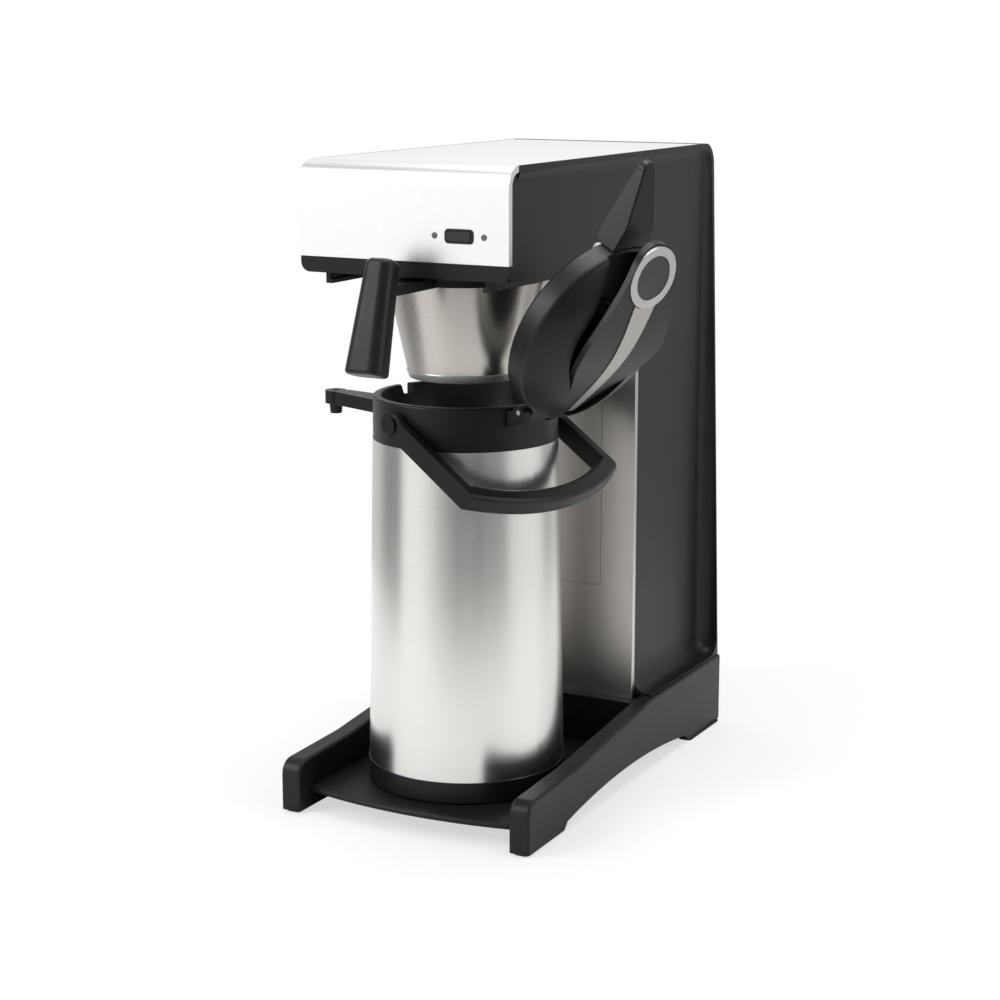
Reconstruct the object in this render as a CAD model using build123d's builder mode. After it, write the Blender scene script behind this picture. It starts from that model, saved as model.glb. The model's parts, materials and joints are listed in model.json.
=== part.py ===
from build123d import *
import os
from math import cos, radians, sin

os.makedirs("parts", exist_ok=True)

# Filter coffee brewer with a pump jug, in millimetres.
# The origin is on the floor under the middle of the base. The front is -Y and +Z is up.

# Overall sizes
base_width = 235.0
base_depth = 406.0
brewer_height = 546.0
body_width = 188.0
head_reach = 193.0
column_face_y = 43.0
sheet = 1.5
flange = 5.5
fit_gap = 0.2
slide_gap = 0.3

# Base
rail_width = 18.3
rail_nose_z = 45.0
rail_crown_y = -117.0
rail_crown_z = 48.0
rail_back_z = 65.0
rail_nose_radius = 13.0
rail_edge_radius = 2.5
rail_rear_inset = 4.5
pad_height = 2.0
pad_inset = 3.0
foot_lift = 8.0
foot_draft = 6.0
arch_front_y = -131.0
arch_back_y = 122.0
arch_top_z = 18.0
pan_bottom_z = 12.5
pan_thickness = 4.0
pan_front_y = -178.0
plinth_front_y = 32.0
plinth_top_z = 61.8
plinth_wall = 4.0
tray_thickness = 3.3
tray_corner_y = -184.0
tray_bow = 12.0
tray_bead_radius = 2.6

# Head and column
head_height = 88.5
band_height = 12.5
band_depth = 6.0
band_corner = 8.0
head_bend = 16.0
panel_thickness = 3.0
panel_lap = 0.8
rear_front_y = 172.0
rear_wall = 3.0
back_corner = 18.0
rim_top_proud = 2.4
rim_foot_proud = 16.8
rim_front_y = -176.0
rim_full_y = -90.0
rim_edge = 2.0
rim_ledge = 1.3
cove_radius = 14.0
access_width = 125.0
access_bottom_z = 163.0
access_top_drop = 57.5
access_lip = 3.5
access_thickness = 1.0
access_gap = 0.6
chassis_sheet = 2.0
chassis_inset = 2.0
chassis_rear_gap = 26.0

# Water side
tank_width = 140.0
tank_front_y = 62.0
tank_back_y = 150.0
tank_top_drop = 127.5
tank_wall = 2.0
heater_rod = 4.0
heater_height = 26.0
riser_radius = 5.0
riser_bore = 3.5
riser_y = 106.0
riser_drop = 31.0
riser_bend = 22.0
spray_radius = 40.0
spray_thickness = 5.0
spray_stem_radius = 9.0
spray_hole_count = 12
spray_hole_radius = 1.2
thermostat_radius = 9.0
thermostat_thickness = 8.0
fitting_radius = 9.0
fitting_inset = 49.0
gland_radius = 8.0
gland_inset = 49.0
gland_z = 92.0
screw_radius = 1.5
screw_head_radius = 3.2
screw_head_height = 1.5
screw_length = 9.0
screw_x = 60.0
screw_low_z = 140.0
screw_top_drop = 26.0

# Front controls
control_drop = 54.6
switch_x = 50.7
switch_width = 25.0
switch_height = 11.0
switch_corner = 4.0
switch_proud = 1.6
switch_travel = 1.5
bezel_border = 1.6
bezel_proud = 0.8
switch_depth = 20.0
lamp_spacing = 43.5
lamp_radius = 2.4
lamp_proud = 0.8
holder_radius = 4.5
holder_depth = 12.0
board_width = 150.0
board_height = 50.0
board_thickness = 1.6
board_y = -160.0

# Filter basket
basket_y = -91.7
flange_radius = 70.0
flange_height = 3.0
flange_drop = 5.7
rim_radius = 66.5
rim_height = 5.8
rim_wall = 2.6
funnel_top_radius = 64.5
funnel_low_radius = 48.0
funnel_height = 74.0
funnel_wall = 1.2
ring_height = 6.0
ring_radius = 49.0
outlet_radius = 37.0
outlet_height = 3.4
outlet_bore = 4.0
screen_radius = 46.0
screen_thickness = 1.2
screen_rise = 8.0
runner_height = 9.0
runner_web = 4.0
runner_lip = 3.2
runner_reach = 2.0
handle_top_y = -222.0
handle_top_rise = 16.5
handle_low_y = -249.0
handle_low_drop = 70.5
handle_top_size = (25.0, 22.0)
handle_low_size = (34.0, 25.0)
handle_arm_width = 24.0
handle_arm_height = 8.0

# Jug
jug_y = -91.7
jug_turn = -16.0
jug_bottom_z = 20.1
jug_base_radius = 84.0
jug_base_height = 18.5
jug_base_wall = 3.0
shell_low_radius = 83.4
shell_top_radius = 77.6
collar_height = 36.0
shell_wall = 1.0
liner_gap = 6.0
liner_wall = 1.0
liner_bottom_z = 40.0
shoulder_drop = 30.0
neck_radius = 53.0
neck_drop = 29.0
collar_radius = 77.2
jug_clearance = 11.6
collar_wall = 6.5
mouth_radius = 58.0
notch_width = 13.0
notch_depth = 15.5
spout_reach = 171.0
spout_drop = 27.0
spout_height = 11.5
spout_root_width = 30.0
spout_tip_width = 17.0
spout_nozzle_radius = 6.0
spout_nozzle_drop = 9.0
dip_tube_r = -46.0
dip_tube_radius = 4.0
dip_tube_bore = 2.8
dip_tube_low_z = 46.0
dip_tube_drop = 24.0
clip_width = 14.0
clip_thickness = 2.4

# Bail handle
bail_pivot_drop = 16.0
bail_drop = 30.0
bail_arm = 103.0
bail_inside = 80.0
bail_thickness = 7.0
bail_depth = 17.0
bail_eye_radius = 10.0
bail_grip_bow = 22.0
bail_grip_width = 15.5
bail_pin_radius = 4.0
bail_pin_gap = 0.1
cap_radius = 7.5
cap_thickness = 2.0

# Lid, measured along its own plane from the hinge pin outwards
lid_open = 118.0
hinge_r = 86.0
hinge_drop = 3.0
hinge_pin_radius = 2.0
hinge_pin_gap = 0.1
hinge_lug_radius = 5.5
hinge_lug_width = 9.0
hinge_half_width = 27.0
lid_radius = 78.0
lid_floor_z = 3.4
lid_floor = 3.0
lid_split_z = 20.0
lid_crown_z = 44.0
lid_wall = 3.0
dome_top = (38.0, 1.5)
dome_flank = (62.0, 9.0)
dome_brow = (74.0, 7.0)
dome_inset = (1.0, 2.0, 3.0)
gasket_radius = 64.0
gasket_height = 2.4
plug_radius = 46.0
plug_end_radius = 42.0
plug_depth = 19.0
plug_wall = 2.5
sleeve_radius = 27.0
sleeve_top_o = 16.0
plunger_radius = 24.0
plunger_wall = 2.0
plunger_plate_z = 30.0
plunger_skirt = 18.0
plunger_boss_radius = 5.0
plunger_boss_o = 43.4
lever_pivot_s = 20.0
lever_pivot_o = 17.0
lever_profile = [(12, 24), (42, 36.5), (85, 49.5), (130, 51), (160, 48), (182, 40)]
lever_rear_s = 30.0
lever_rear_radius = 15.0
lever_middle_s = 90.0
lever_middle_radius = 46.0
lever_front_margin = 1.0
lever_thickness = 5.0
lever_gap = 1.2
lever_pin_radius = 2.0
lever_pin_half = 11.0
lever_boss_half = 5.0
badge_s = 155.0
badge_radius = 25.0
badge_bore = 18.0
badge_height = 0.8
badge_seat_o = 46.6
badge_slope = -11.0
pocket_depth = 1.6
strip_half_width = 12.0
strip_thickness = 0.8
strip_end_gap = 4.0
beak_root_s = 158.0
beak_tip_s = 230.0
beak_root_width = 44.0
beak_tip_width = 14.0
beak_low_o = -3.8
beak_top_o = 19.8
beak_tip_o = 5.0
beak_wall = 2.5
tube_radius = 3.0
tube_o = -7.0
coupling_s = 132.3
coupling_length = 18.0
coupling_width = 12.0
coupling_drop = 4.0

# Worked out from the sizes above
half_body = body_width / 2
head_bottom_z = brewer_height - head_height
control_z = brewer_height - control_drop
riser_z = brewer_height - riser_drop
screw_high_z = brewer_height - screw_top_drop
access_top_z = head_bottom_z - access_top_drop
tank_top_z = head_bottom_z - tank_top_drop
fitting_x = half_body - fitting_inset
gland_x = gland_inset - half_body
flange_bottom_z = head_bottom_z - flange_drop
rim_bottom_z = flange_bottom_z - rim_height
funnel_low_z = rim_bottom_z - funnel_height
screen_z = funnel_low_z + screen_rise
collar_top_z = funnel_low_z - ring_height - outlet_height - jug_clearance
shell_top_z = collar_top_z - collar_height
liner_shoulder_z = shell_top_z - shoulder_drop
neck_top_z = collar_top_z - neck_drop
notch_z = collar_top_z - notch_depth
spout_z = collar_top_z - spout_drop
dip_tube_top_z = collar_top_z - dip_tube_drop
bail_pivot_z = collar_top_z - bail_pivot_drop
hinge_z = collar_top_z - hinge_drop
front_y = -base_depth / 2
back_y = base_depth / 2
head_front_y = -head_reach
band_top_z = head_bottom_z + band_height
rail_outer = base_width / 2
rail_inner = rail_outer - rail_width
pan_top_z = pan_bottom_z + pan_thickness
tray_top_z = pan_top_z + tray_thickness
panel_outer = half_body - sheet - fit_gap / 2
panel_inner = panel_outer - panel_thickness
band_back_y = head_front_y + band_depth
head_panel_y = head_front_y + flange + sheet - panel_lap
column_panel_y = column_face_y + flange - panel_lap
panel_top_z = brewer_height - flange + panel_lap
chassis_half = panel_inner - chassis_inset
chassis_back_y = back_y - rear_wall
shelf_z = band_top_z
screw_mid_z = (screw_low_z + screw_high_z) / 2
screw_places = [(x, z) for x in (-screw_x, screw_x) for z in (screw_low_z, screw_mid_z, screw_high_z)]

turn = radians(jug_turn)
hinge_dir = Vector(cos(turn), sin(turn), 0)
pivot_dir = Vector(sin(turn), -cos(turn), 0)
up = Vector(0, 0, 1)
jug_centre = Vector(0, jug_y, 0)
jug_axis = Axis(jug_centre, up)
jug_floor = Plane(jug_centre, x_dir=hinge_dir, z_dir=up)
jug_section = Plane(jug_centre, x_dir=hinge_dir, z_dir=pivot_dir)

lean = radians(180 - lid_open)
lid_along = hinge_dir * cos(lean) + up * sin(lean)
lid_out = hinge_dir * sin(lean) - up * cos(lean)
hinge_point = jug_centre + hinge_dir * hinge_r + up * hinge_z
lid_plane = Plane(hinge_point, x_dir=lid_along, z_dir=lid_out)
lid_section = Plane(hinge_point, x_dir=lid_along, z_dir=pivot_dir * -1)
lid_axis = Axis(hinge_point + lid_along * hinge_r, lid_out)
tube_start_s = coupling_s + coupling_length
badge_tilt = radians(badge_slope)
badge_along = lid_along * cos(badge_tilt) + lid_out * sin(badge_tilt)
badge_out = lid_out * cos(badge_tilt) - lid_along * sin(badge_tilt)
badge_point = hinge_point + lid_along * badge_s + lid_out * badge_seat_o
badge_plane = Plane(badge_point, x_dir=badge_along, z_dir=badge_out)
badge_axis = Axis(badge_point, badge_out)

drop = radians(bail_drop)
bail_along = hinge_dir * cos(drop) - up * sin(drop)
bail_up = hinge_dir * sin(drop) + up * cos(drop)
bail_point = jug_centre + up * bail_pivot_z
bail_plane = Plane(bail_point, x_dir=bail_along, z_dir=bail_up)

pieces = {}


def keep(part, name):
    """Label a finished piece and remember it for export."""
    part.part.label = name
    pieces[name] = part.part


# Base: two side rails, the floor pan between them and the plinth under the column.
with BuildPart() as base_frame:
    with BuildSketch(Plane.YZ.offset(rail_inner)) as rail_side:
        with BuildLine():
            Polyline(
                (arch_front_y, foot_lift),
                (arch_front_y - foot_draft, pad_height),
                (front_y, pad_height),
                (front_y, rail_nose_z),
                (rail_crown_y, rail_crown_z),
                (column_face_y, rail_back_z),
                (back_y, rail_back_z),
                (back_y, pad_height),
                (arch_back_y + foot_draft, pad_height),
                (arch_back_y, foot_lift),
            )
            ThreePointArc(
                (arch_back_y, foot_lift),
                ((arch_front_y + arch_back_y) / 2, arch_top_z),
                (arch_front_y, foot_lift),
            )
        make_face()
        nose = rail_side.vertices().group_by(Axis.X)[0].sort_by(Axis.Y)[-1]
        fillet(nose, rail_nose_radius)
    extrude(amount=rail_width)
    rail_face = Plane(
        (rail_outer, front_y, pad_height),
        x_dir=(-rail_rear_inset, base_depth, 0),
        z_dir=(base_depth, rail_rear_inset, 0),
    )
    split(bisect_by=rail_face, keep=Keep.BOTTOM)
    top_edges = base_frame.edges().filter_by(GeomType.LINE).filter_by_position(
        Axis.Z, rail_nose_z / 2, rail_back_z, (False, True)
    )
    fillet(top_edges.filter_by(Axis.X, reverse=True).filter_by(Axis.Z, reverse=True), rail_edge_radius)
    mirror(about=Plane.YZ)
    with BuildSketch(Plane.XY.offset(pan_bottom_z)):
        with Locations((0, (pan_front_y + plinth_front_y) / 2)):
            Rectangle(2 * rail_inner, plinth_front_y - pan_front_y)
    extrude(amount=pan_thickness)
    with BuildSketch(Plane.XY.offset(pan_bottom_z)):
        with Locations((0, (plinth_front_y + back_y) / 2)):
            Rectangle(2 * rail_inner, back_y - plinth_front_y)
            Rectangle(
                2 * rail_inner - 2 * plinth_wall,
                back_y - plinth_front_y - 2 * plinth_wall,
                mode=Mode.SUBTRACT,
            )
    extrude(amount=plinth_top_z - pan_bottom_z)
    with BuildSketch(Plane.XY.offset(plinth_top_z - plinth_wall)):
        with Locations((0, (plinth_front_y + back_y) / 2)):
            Rectangle(2 * rail_inner, back_y - plinth_front_y)
    extrude(amount=plinth_wall)
keep(base_frame, "base_frame")

# Four rubber pads under the ends of the rails.
with BuildPart() as foot_pads:
    front_pad = arch_front_y - foot_draft - front_y - 2 * pad_inset
    back_pad = back_y - arch_back_y - foot_draft - 2 * pad_inset
    with BuildSketch(Plane.XY):
        for side in (-1, 1):
            pad_x = side * (rail_inner + rail_width / 2)
            with Locations((pad_x, front_y + pad_inset + front_pad / 2)):
                RectangleRounded(rail_width - 2 * pad_inset, front_pad, pad_inset)
            with Locations((pad_x, back_y - pad_inset - back_pad / 2)):
                RectangleRounded(rail_width - 2 * pad_inset, back_pad, pad_inset)
    extrude(amount=pad_height)
keep(foot_pads, "foot_pads")

# Tray plate that the jug stands on, with a bowed front edge and a rolled bead.
with BuildPart() as tray_plate:
    tray_half = rail_inner - fit_gap
    tray_back_y = plinth_front_y - fit_gap
    with BuildSketch(Plane.XY.offset(pan_top_z)):
        with BuildLine():
            Polyline(
                (-tray_half, tray_corner_y),
                (-tray_half, tray_back_y),
                (tray_half, tray_back_y),
                (tray_half, tray_corner_y),
            )
            ThreePointArc(
                (tray_half, tray_corner_y), (0, tray_corner_y - tray_bow), (-tray_half, tray_corner_y)
            )
        make_face()
    extrude(amount=tray_thickness)
    with BuildLine(Plane.XY.offset(tray_top_z - tray_bead_radius)) as bead_path:
        ThreePointArc(
            (tray_half, tray_corner_y), (0, tray_corner_y - tray_bow), (-tray_half, tray_corner_y)
        )
    with BuildSketch(Plane(bead_path.line @ 0, z_dir=bead_path.line % 0)):
        Circle(tray_bead_radius)
    sweep(path=bead_path.line)
    with BuildSketch(Plane.XY.offset(pan_top_z - 2 * tray_bead_radius)):
        with Locations((0, (front_y + tray_back_y) / 2)):
            Rectangle(2 * tray_half, tray_back_y - front_y)
    extrude(amount=6 * tray_bead_radius, mode=Mode.INTERSECT)
keep(tray_plate, "tray_plate")



def cover_side(inset, reach):
    """Side outline of the folded cover, set in by a distance and run on past its ends."""
    low = band_top_z + fit_gap - reach
    high = brewer_height - inset
    back = rear_front_y - fit_gap + reach
    front = head_front_y + inset
    return [(front, low), (front, high), (back, high), (back, low), (front, low)]


# Head cover: one folded sheet over the front and the top, its side edges turned in.
with BuildPart() as head_cover:
    with BuildSketch(Plane.YZ.offset(-half_body)) as cover_outer:
        with BuildLine():
            Polyline(*cover_side(0, 0))
        make_face()
        fillet(cover_outer.vertices().group_by(Axis.X)[0].sort_by(Axis.Y)[-1], head_bend)
    extrude(amount=body_width)
    with BuildSketch(Plane.YZ.offset(sheet - half_body)) as cover_inner:
        with BuildLine():
            Polyline(*cover_side(sheet, sheet))
        make_face()
        fillet(cover_inner.vertices().group_by(Axis.X)[0].sort_by(Axis.Y)[-1], head_bend - sheet)
    extrude(amount=body_width - 2 * sheet, mode=Mode.SUBTRACT)
    with BuildSketch(Plane.YZ.offset(-half_body)) as cover_window:
        with BuildLine():
            Polyline(*cover_side(flange, flange))
        make_face()
        fillet(cover_window.vertices().group_by(Axis.X)[0].sort_by(Axis.Y)[-1], head_bend - flange)
    extrude(amount=body_width, mode=Mode.SUBTRACT)
    with BuildSketch(Plane.XZ.offset(head_reach)):
        with Locations((switch_x, control_z)):
            RectangleRounded(
                switch_width + 2 * fit_gap, switch_height + 2 * fit_gap, switch_corner - bezel_border / 2
            )
        with Locations((switch_x - lamp_spacing / 2, control_z), (switch_x + lamp_spacing / 2, control_z)):
            Circle(lamp_radius + fit_gap / 2)
    extrude(amount=-2 * sheet, mode=Mode.SUBTRACT)
keep(head_cover, "head_cover")

# Moulded floor of the head with the dark band below the front sheet.
with BuildPart() as head_floor:
    floor_half = panel_inner - fit_gap
    floor_back_y = column_face_y + sheet - fit_gap
    with BuildSketch(Plane.XY.offset(head_bottom_z)):
        with Locations((0, (band_back_y + floor_back_y) / 2)):
            Rectangle(2 * floor_half, floor_back_y - band_back_y)
    extrude(amount=band_height)
    with BuildSketch(Plane.XZ.offset(head_reach)) as band_face:
        with Locations((0, head_bottom_z + band_height / 2)):
            Rectangle(body_width, band_height)
        fillet(band_face.vertices().group_by(Axis.Y)[0], band_corner)
    extrude(amount=-band_depth)
    with BuildSketch(Plane.XY.offset(head_bottom_z)):
        with Locations((0, basket_y)):
            Circle(spray_radius + slide_gap)
    extrude(amount=band_height, mode=Mode.SUBTRACT)
keep(head_floor, "head_floor")

# Column front: folded sheet standing on the plinth, with an opening for the access panel.
with BuildPart() as column_front:
    column_low_z = plinth_top_z
    column_high_z = head_bottom_z - fit_gap
    column_height = column_high_z - column_low_z
    with BuildSketch(Plane.XY.offset(column_low_z)):
        with Locations((0, column_face_y + flange / 2)):
            Rectangle(body_width, flange)
        with Locations((0, column_face_y + sheet + flange / 2)):
            Rectangle(body_width - 2 * sheet, flange, mode=Mode.SUBTRACT)
    extrude(amount=column_height)
    with BuildSketch(Plane.XZ.offset(-column_face_y)):
        with Locations((0, (access_bottom_z + access_top_z) / 2)):
            Rectangle(access_width, access_top_z - access_bottom_z)
    extrude(amount=-sheet, mode=Mode.SUBTRACT)
keep(column_front, "column_front")

# Access panel set into the column front, its lip lying behind the sheet.
with BuildPart() as access_panel:
    access_mid_z = (access_bottom_z + access_top_z) / 2
    access_height = access_top_z - access_bottom_z
    with BuildSketch(Plane.XZ.offset(-(column_face_y + sheet))):
        with Locations((0, access_mid_z)):
            Rectangle(access_width + 2 * access_lip, access_height + 2 * access_lip)
    extrude(amount=-access_thickness)
    with BuildSketch(Plane.XZ.offset(-(column_face_y + sheet))):
        with Locations((0, access_mid_z)):
            Rectangle(access_width - 2 * access_gap, access_height - 2 * access_gap)
    extrude(amount=sheet - access_gap / 2)
keep(access_panel, "access_panel")

# Hollow of a side wall: a long shallow recess with coved edges, open to the front.
side_foot_z = rail_back_z + fit_gap
side_reach = rim_foot_proud + body_width
rim_column_y = column_face_y + flange + fit_gap
with BuildPart() as side_recess:
    with BuildSketch(Plane.YZ.offset(panel_outer)) as recess_side:
        with BuildLine():
            Polyline(
                (head_front_y - body_width, side_foot_z + rim_ledge),
                (back_y - rim_edge, side_foot_z + rim_ledge),
                (back_y - rim_edge, brewer_height),
                (head_front_y - body_width, brewer_height),
                close=True,
            )
        make_face()
        fillet(recess_side.vertices().group_by(Axis.X)[-1], back_corner - rim_edge)
    extrude(amount=side_reach)
    recess_edges = side_recess.edges().group_by(Axis.X)[0].sort_by(Axis.Y)[1:]
    fillet(recess_edges, cove_radius)

# Outline of a side wall from the front: its rim stands prouder towards the foot.
with BuildSketch(Plane.XZ) as rim_front:
    with BuildLine():
        Polyline(
            (panel_inner, side_foot_z),
            (half_body + rim_foot_proud, side_foot_z),
            (half_body + rim_top_proud, brewer_height),
            (panel_inner, brewer_height),
            close=True,
        )
    make_face()

# Outline of a side wall from above: the rim fades out towards the front bend of the sheet.
with BuildSketch(Plane.XY) as rim_plan:
    with BuildLine():
        Polyline(
            (panel_inner, head_panel_y),
            (panel_outer, head_panel_y),
            (panel_outer, rim_front_y),
            (half_body + 2 * fit_gap, rim_front_y),
            (half_body + rim_top_proud + fit_gap, rim_full_y),
            (half_body + rim_foot_proud + fit_gap, column_face_y),
            (half_body + rim_foot_proud + fit_gap, back_y),
            (panel_inner, back_y),
            close=True,
        )
    make_face()

# Side walls: black mouldings behind the folded flanges, coved out to a rim at the top, back and foot.
for side_name, side in (("side_panel_right", 1), ("side_panel_left", -1)):
    with BuildPart() as side_panel:
        with BuildSketch(Plane.YZ.offset(panel_outer)) as rim_side:
            with BuildLine():
                Polyline(
                    (rim_front_y, head_bottom_z),
                    (rim_front_y, brewer_height),
                    (back_y, brewer_height),
                    (back_y, side_foot_z),
                    (rim_column_y, side_foot_z),
                    (rim_column_y, head_bottom_z),
                    close=True,
                )
            make_face()
            fillet(rim_side.vertices().group_by(Axis.X)[-1].sort_by(Axis.Y)[-1], back_corner)
        extrude(amount=rim_foot_proud + sheet)
        add(side_recess.part, mode=Mode.SUBTRACT)
        with BuildSketch(Plane.YZ.offset(panel_outer)):
            with Locations(((head_front_y + rear_front_y) / 2, brewer_height)):
                Rectangle(rear_front_y - head_front_y, 2 * (flange + fit_gap))
        extrude(amount=half_body + fit_gap - panel_outer, mode=Mode.SUBTRACT)
        with BuildSketch(Plane.YZ.offset(panel_inner)) as panel_side:
            with BuildLine():
                Polyline(
                    (head_panel_y, head_bottom_z),
                    (head_panel_y, panel_top_z),
                    (rear_front_y, panel_top_z),
                    (rear_front_y, brewer_height),
                    (back_y, brewer_height),
                    (back_y, side_foot_z),
                    (column_panel_y, side_foot_z),
                    (column_panel_y, head_bottom_z),
                    close=True,
                )
            make_face()
            fillet(panel_side.vertices().group_by(Axis.X)[0].sort_by(Axis.Y)[-1], head_bend - flange)
            fillet(panel_side.vertices().group_by(Axis.X)[-1].sort_by(Axis.Y)[-1], back_corner)
        extrude(amount=panel_thickness)
        with BuildSketch(Plane.XZ):
            add(rim_front.sketch_local)
        extrude(amount=base_depth, both=True, mode=Mode.INTERSECT)
        with BuildSketch(Plane.XY):
            add(rim_plan.sketch_local)
        extrude(amount=brewer_height, mode=Mode.INTERSECT)
        if side < 0:
            mirror(about=Plane.YZ, mode=Mode.REPLACE)
    keep(side_panel, side_name)

# Rear cover: a moulded back between the side walls, turned over onto the top.
with BuildPart() as rear_cover:
    rear_half = panel_inner - fit_gap
    with BuildSketch(Plane.YZ) as rear_side:
        with Locations(((rear_front_y + back_y) / 2, (side_foot_z + brewer_height) / 2)):
            Rectangle(back_y - rear_front_y, brewer_height - side_foot_z)
        fillet(rear_side.vertices().group_by(Axis.X)[-1].sort_by(Axis.Y)[-1], back_corner)
    extrude(amount=rear_half, both=True)
    with BuildSketch(Plane.YZ) as rear_hollow:
        with Locations(((rear_front_y + back_y) / 2 - rear_wall, (side_foot_z + brewer_height) / 2 - rear_wall)):
            Rectangle(back_y - rear_front_y, brewer_height - side_foot_z)
        fillet(rear_hollow.vertices().group_by(Axis.X)[-1].sort_by(Axis.Y)[-1], back_corner - rear_wall)
    extrude(amount=body_width, both=True, mode=Mode.SUBTRACT)
    with BuildSketch(Plane.XZ.offset(-back_y)):
        with Locations((fitting_x, gland_z)):
            Circle(fitting_radius + fit_gap / 2)
        with Locations((gland_x, gland_z)):
            Circle(gland_radius + fit_gap / 2)
    extrude(amount=rear_wall + fit_gap, mode=Mode.SUBTRACT)
    with BuildSketch(Plane.XZ.offset(-back_y)):
        with Locations(*screw_places):
            Circle(screw_head_radius + fit_gap / 2)
    extrude(amount=fit_gap + screw_head_height, mode=Mode.SUBTRACT)
    with BuildSketch(Plane.XZ.offset(-back_y)):
        with Locations(*screw_places):
            Circle(screw_radius)
    extrude(amount=rear_wall, mode=Mode.SUBTRACT)
keep(rear_cover, "rear_cover")

# Sheet-steel chassis: floor on the plinth, upright back and shelf over the head floor.
with BuildPart() as chassis:
    chassis_low_z = plinth_top_z
    chassis_front_y = column_face_y + flange + fit_gap
    shelf_front_y = head_front_y + sheet + bezel_border + switch_depth + 2.0
    shelf_low_z = shelf_z + fit_gap / 2
    with BuildSketch(Plane.XY.offset(chassis_low_z)):
        with Locations((0, (chassis_front_y + chassis_back_y - chassis_rear_gap) / 2)):
            Rectangle(2 * chassis_half, chassis_back_y - chassis_rear_gap - chassis_front_y)
    extrude(amount=chassis_sheet)
    with BuildSketch(Plane.XY.offset(chassis_low_z)):
        with Locations((0, chassis_back_y - chassis_rear_gap)):
            Rectangle(2 * chassis_half, chassis_sheet)
    extrude(amount=shelf_low_z + chassis_sheet - chassis_low_z)
    with BuildSketch(Plane.XY.offset(shelf_low_z)):
        with Locations((0, (shelf_front_y + chassis_back_y - chassis_rear_gap) / 2)):
            Rectangle(2 * chassis_half, chassis_back_y - chassis_rear_gap - shelf_front_y)
        with Locations((0, basket_y)):
            Circle(spray_stem_radius + slide_gap, mode=Mode.SUBTRACT)
        with Locations((0, riser_y)):
            Circle(riser_radius + slide_gap, mode=Mode.SUBTRACT)
    extrude(amount=chassis_sheet)
keep(chassis, "chassis")
chassis_floor_z = plinth_top_z + chassis_sheet
chassis_rear_y = chassis_back_y - chassis_rear_gap + chassis_sheet / 2
shelf_top_z = shelf_z + fit_gap / 2 + chassis_sheet
tank_mid_y = (tank_front_y + tank_back_y) / 2
tank_depth = tank_back_y - tank_front_y

# Water tank standing on the chassis floor, open at the top for its lid.
with BuildPart() as water_tank:
    with BuildSketch(Plane.XY.offset(chassis_floor_z)):
        with Locations((0, tank_mid_y)):
            RectangleRounded(tank_width, tank_depth, 4 * tank_wall)
    extrude(amount=tank_top_z - chassis_floor_z)
    with BuildSketch(Plane.XY.offset(chassis_floor_z + tank_wall)):
        with Locations((0, tank_mid_y)):
            RectangleRounded(tank_width - 2 * tank_wall, tank_depth - 2 * tank_wall, 3 * tank_wall)
    extrude(amount=tank_top_z - chassis_floor_z, mode=Mode.SUBTRACT)
keep(water_tank, "water_tank")

# Tank lid with the hole that the riser tube passes through.
with BuildPart() as tank_lid:
    with BuildSketch(Plane.XY.offset(tank_top_z)):
        with Locations((0, tank_mid_y)):
            RectangleRounded(tank_width, tank_depth, 4 * tank_wall)
        with Locations((0, riser_y)):
            Circle(riser_radius, mode=Mode.SUBTRACT)
    extrude(amount=tank_wall)
keep(tank_lid, "tank_lid")

# Heater: a rod bent into a U, resting on two feet on the tank floor.
with BuildPart() as heater_element:
    heater_z = chassis_floor_z + tank_wall + heater_height
    heater_half = tank_width / 2 - 5 * heater_rod
    heater_low_z = chassis_floor_z + tank_wall
    with BuildLine() as heater_path:
        FilletPolyline(
            (-heater_half, tank_mid_y, heater_low_z),
            (-heater_half, tank_mid_y, heater_z),
            (heater_half, tank_mid_y, heater_z),
            (heater_half, tank_mid_y, heater_low_z),
            radius=4 * heater_rod,
        )
    with BuildSketch(Plane.XY.offset(heater_low_z)):
        with Locations((-heater_half, tank_mid_y)):
            Circle(heater_rod)
    sweep(path=heater_path.line)
keep(heater_element, "heater_element")

# Thermostat disc pressed against the tank's side.
with BuildPart() as thermostat:
    with BuildSketch(Plane.YZ.offset(tank_width / 2)):
        with Locations((tank_mid_y, chassis_floor_z + 3 * thermostat_radius)):
            Circle(thermostat_radius)
    extrude(amount=thermostat_thickness)
keep(thermostat, "thermostat")

# Riser tube from the tank up through the shelf and forward to the spray head.
with BuildPart() as riser_tube:
    with BuildLine() as riser_path:
        FilletPolyline(
            (0, riser_y, tank_top_z - heater_height),
            (0, riser_y, riser_z),
            (0, basket_y, riser_z),
            (0, basket_y, shelf_top_z + spray_stem_radius),
            radius=riser_bend,
        )
    with BuildSketch(Plane.XY.offset(tank_top_z - heater_height)):
        with Locations((0, riser_y)):
            Circle(riser_radius)
            Circle(riser_bore, mode=Mode.SUBTRACT)
    sweep(path=riser_path.line)
keep(riser_tube, "riser_tube")

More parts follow.
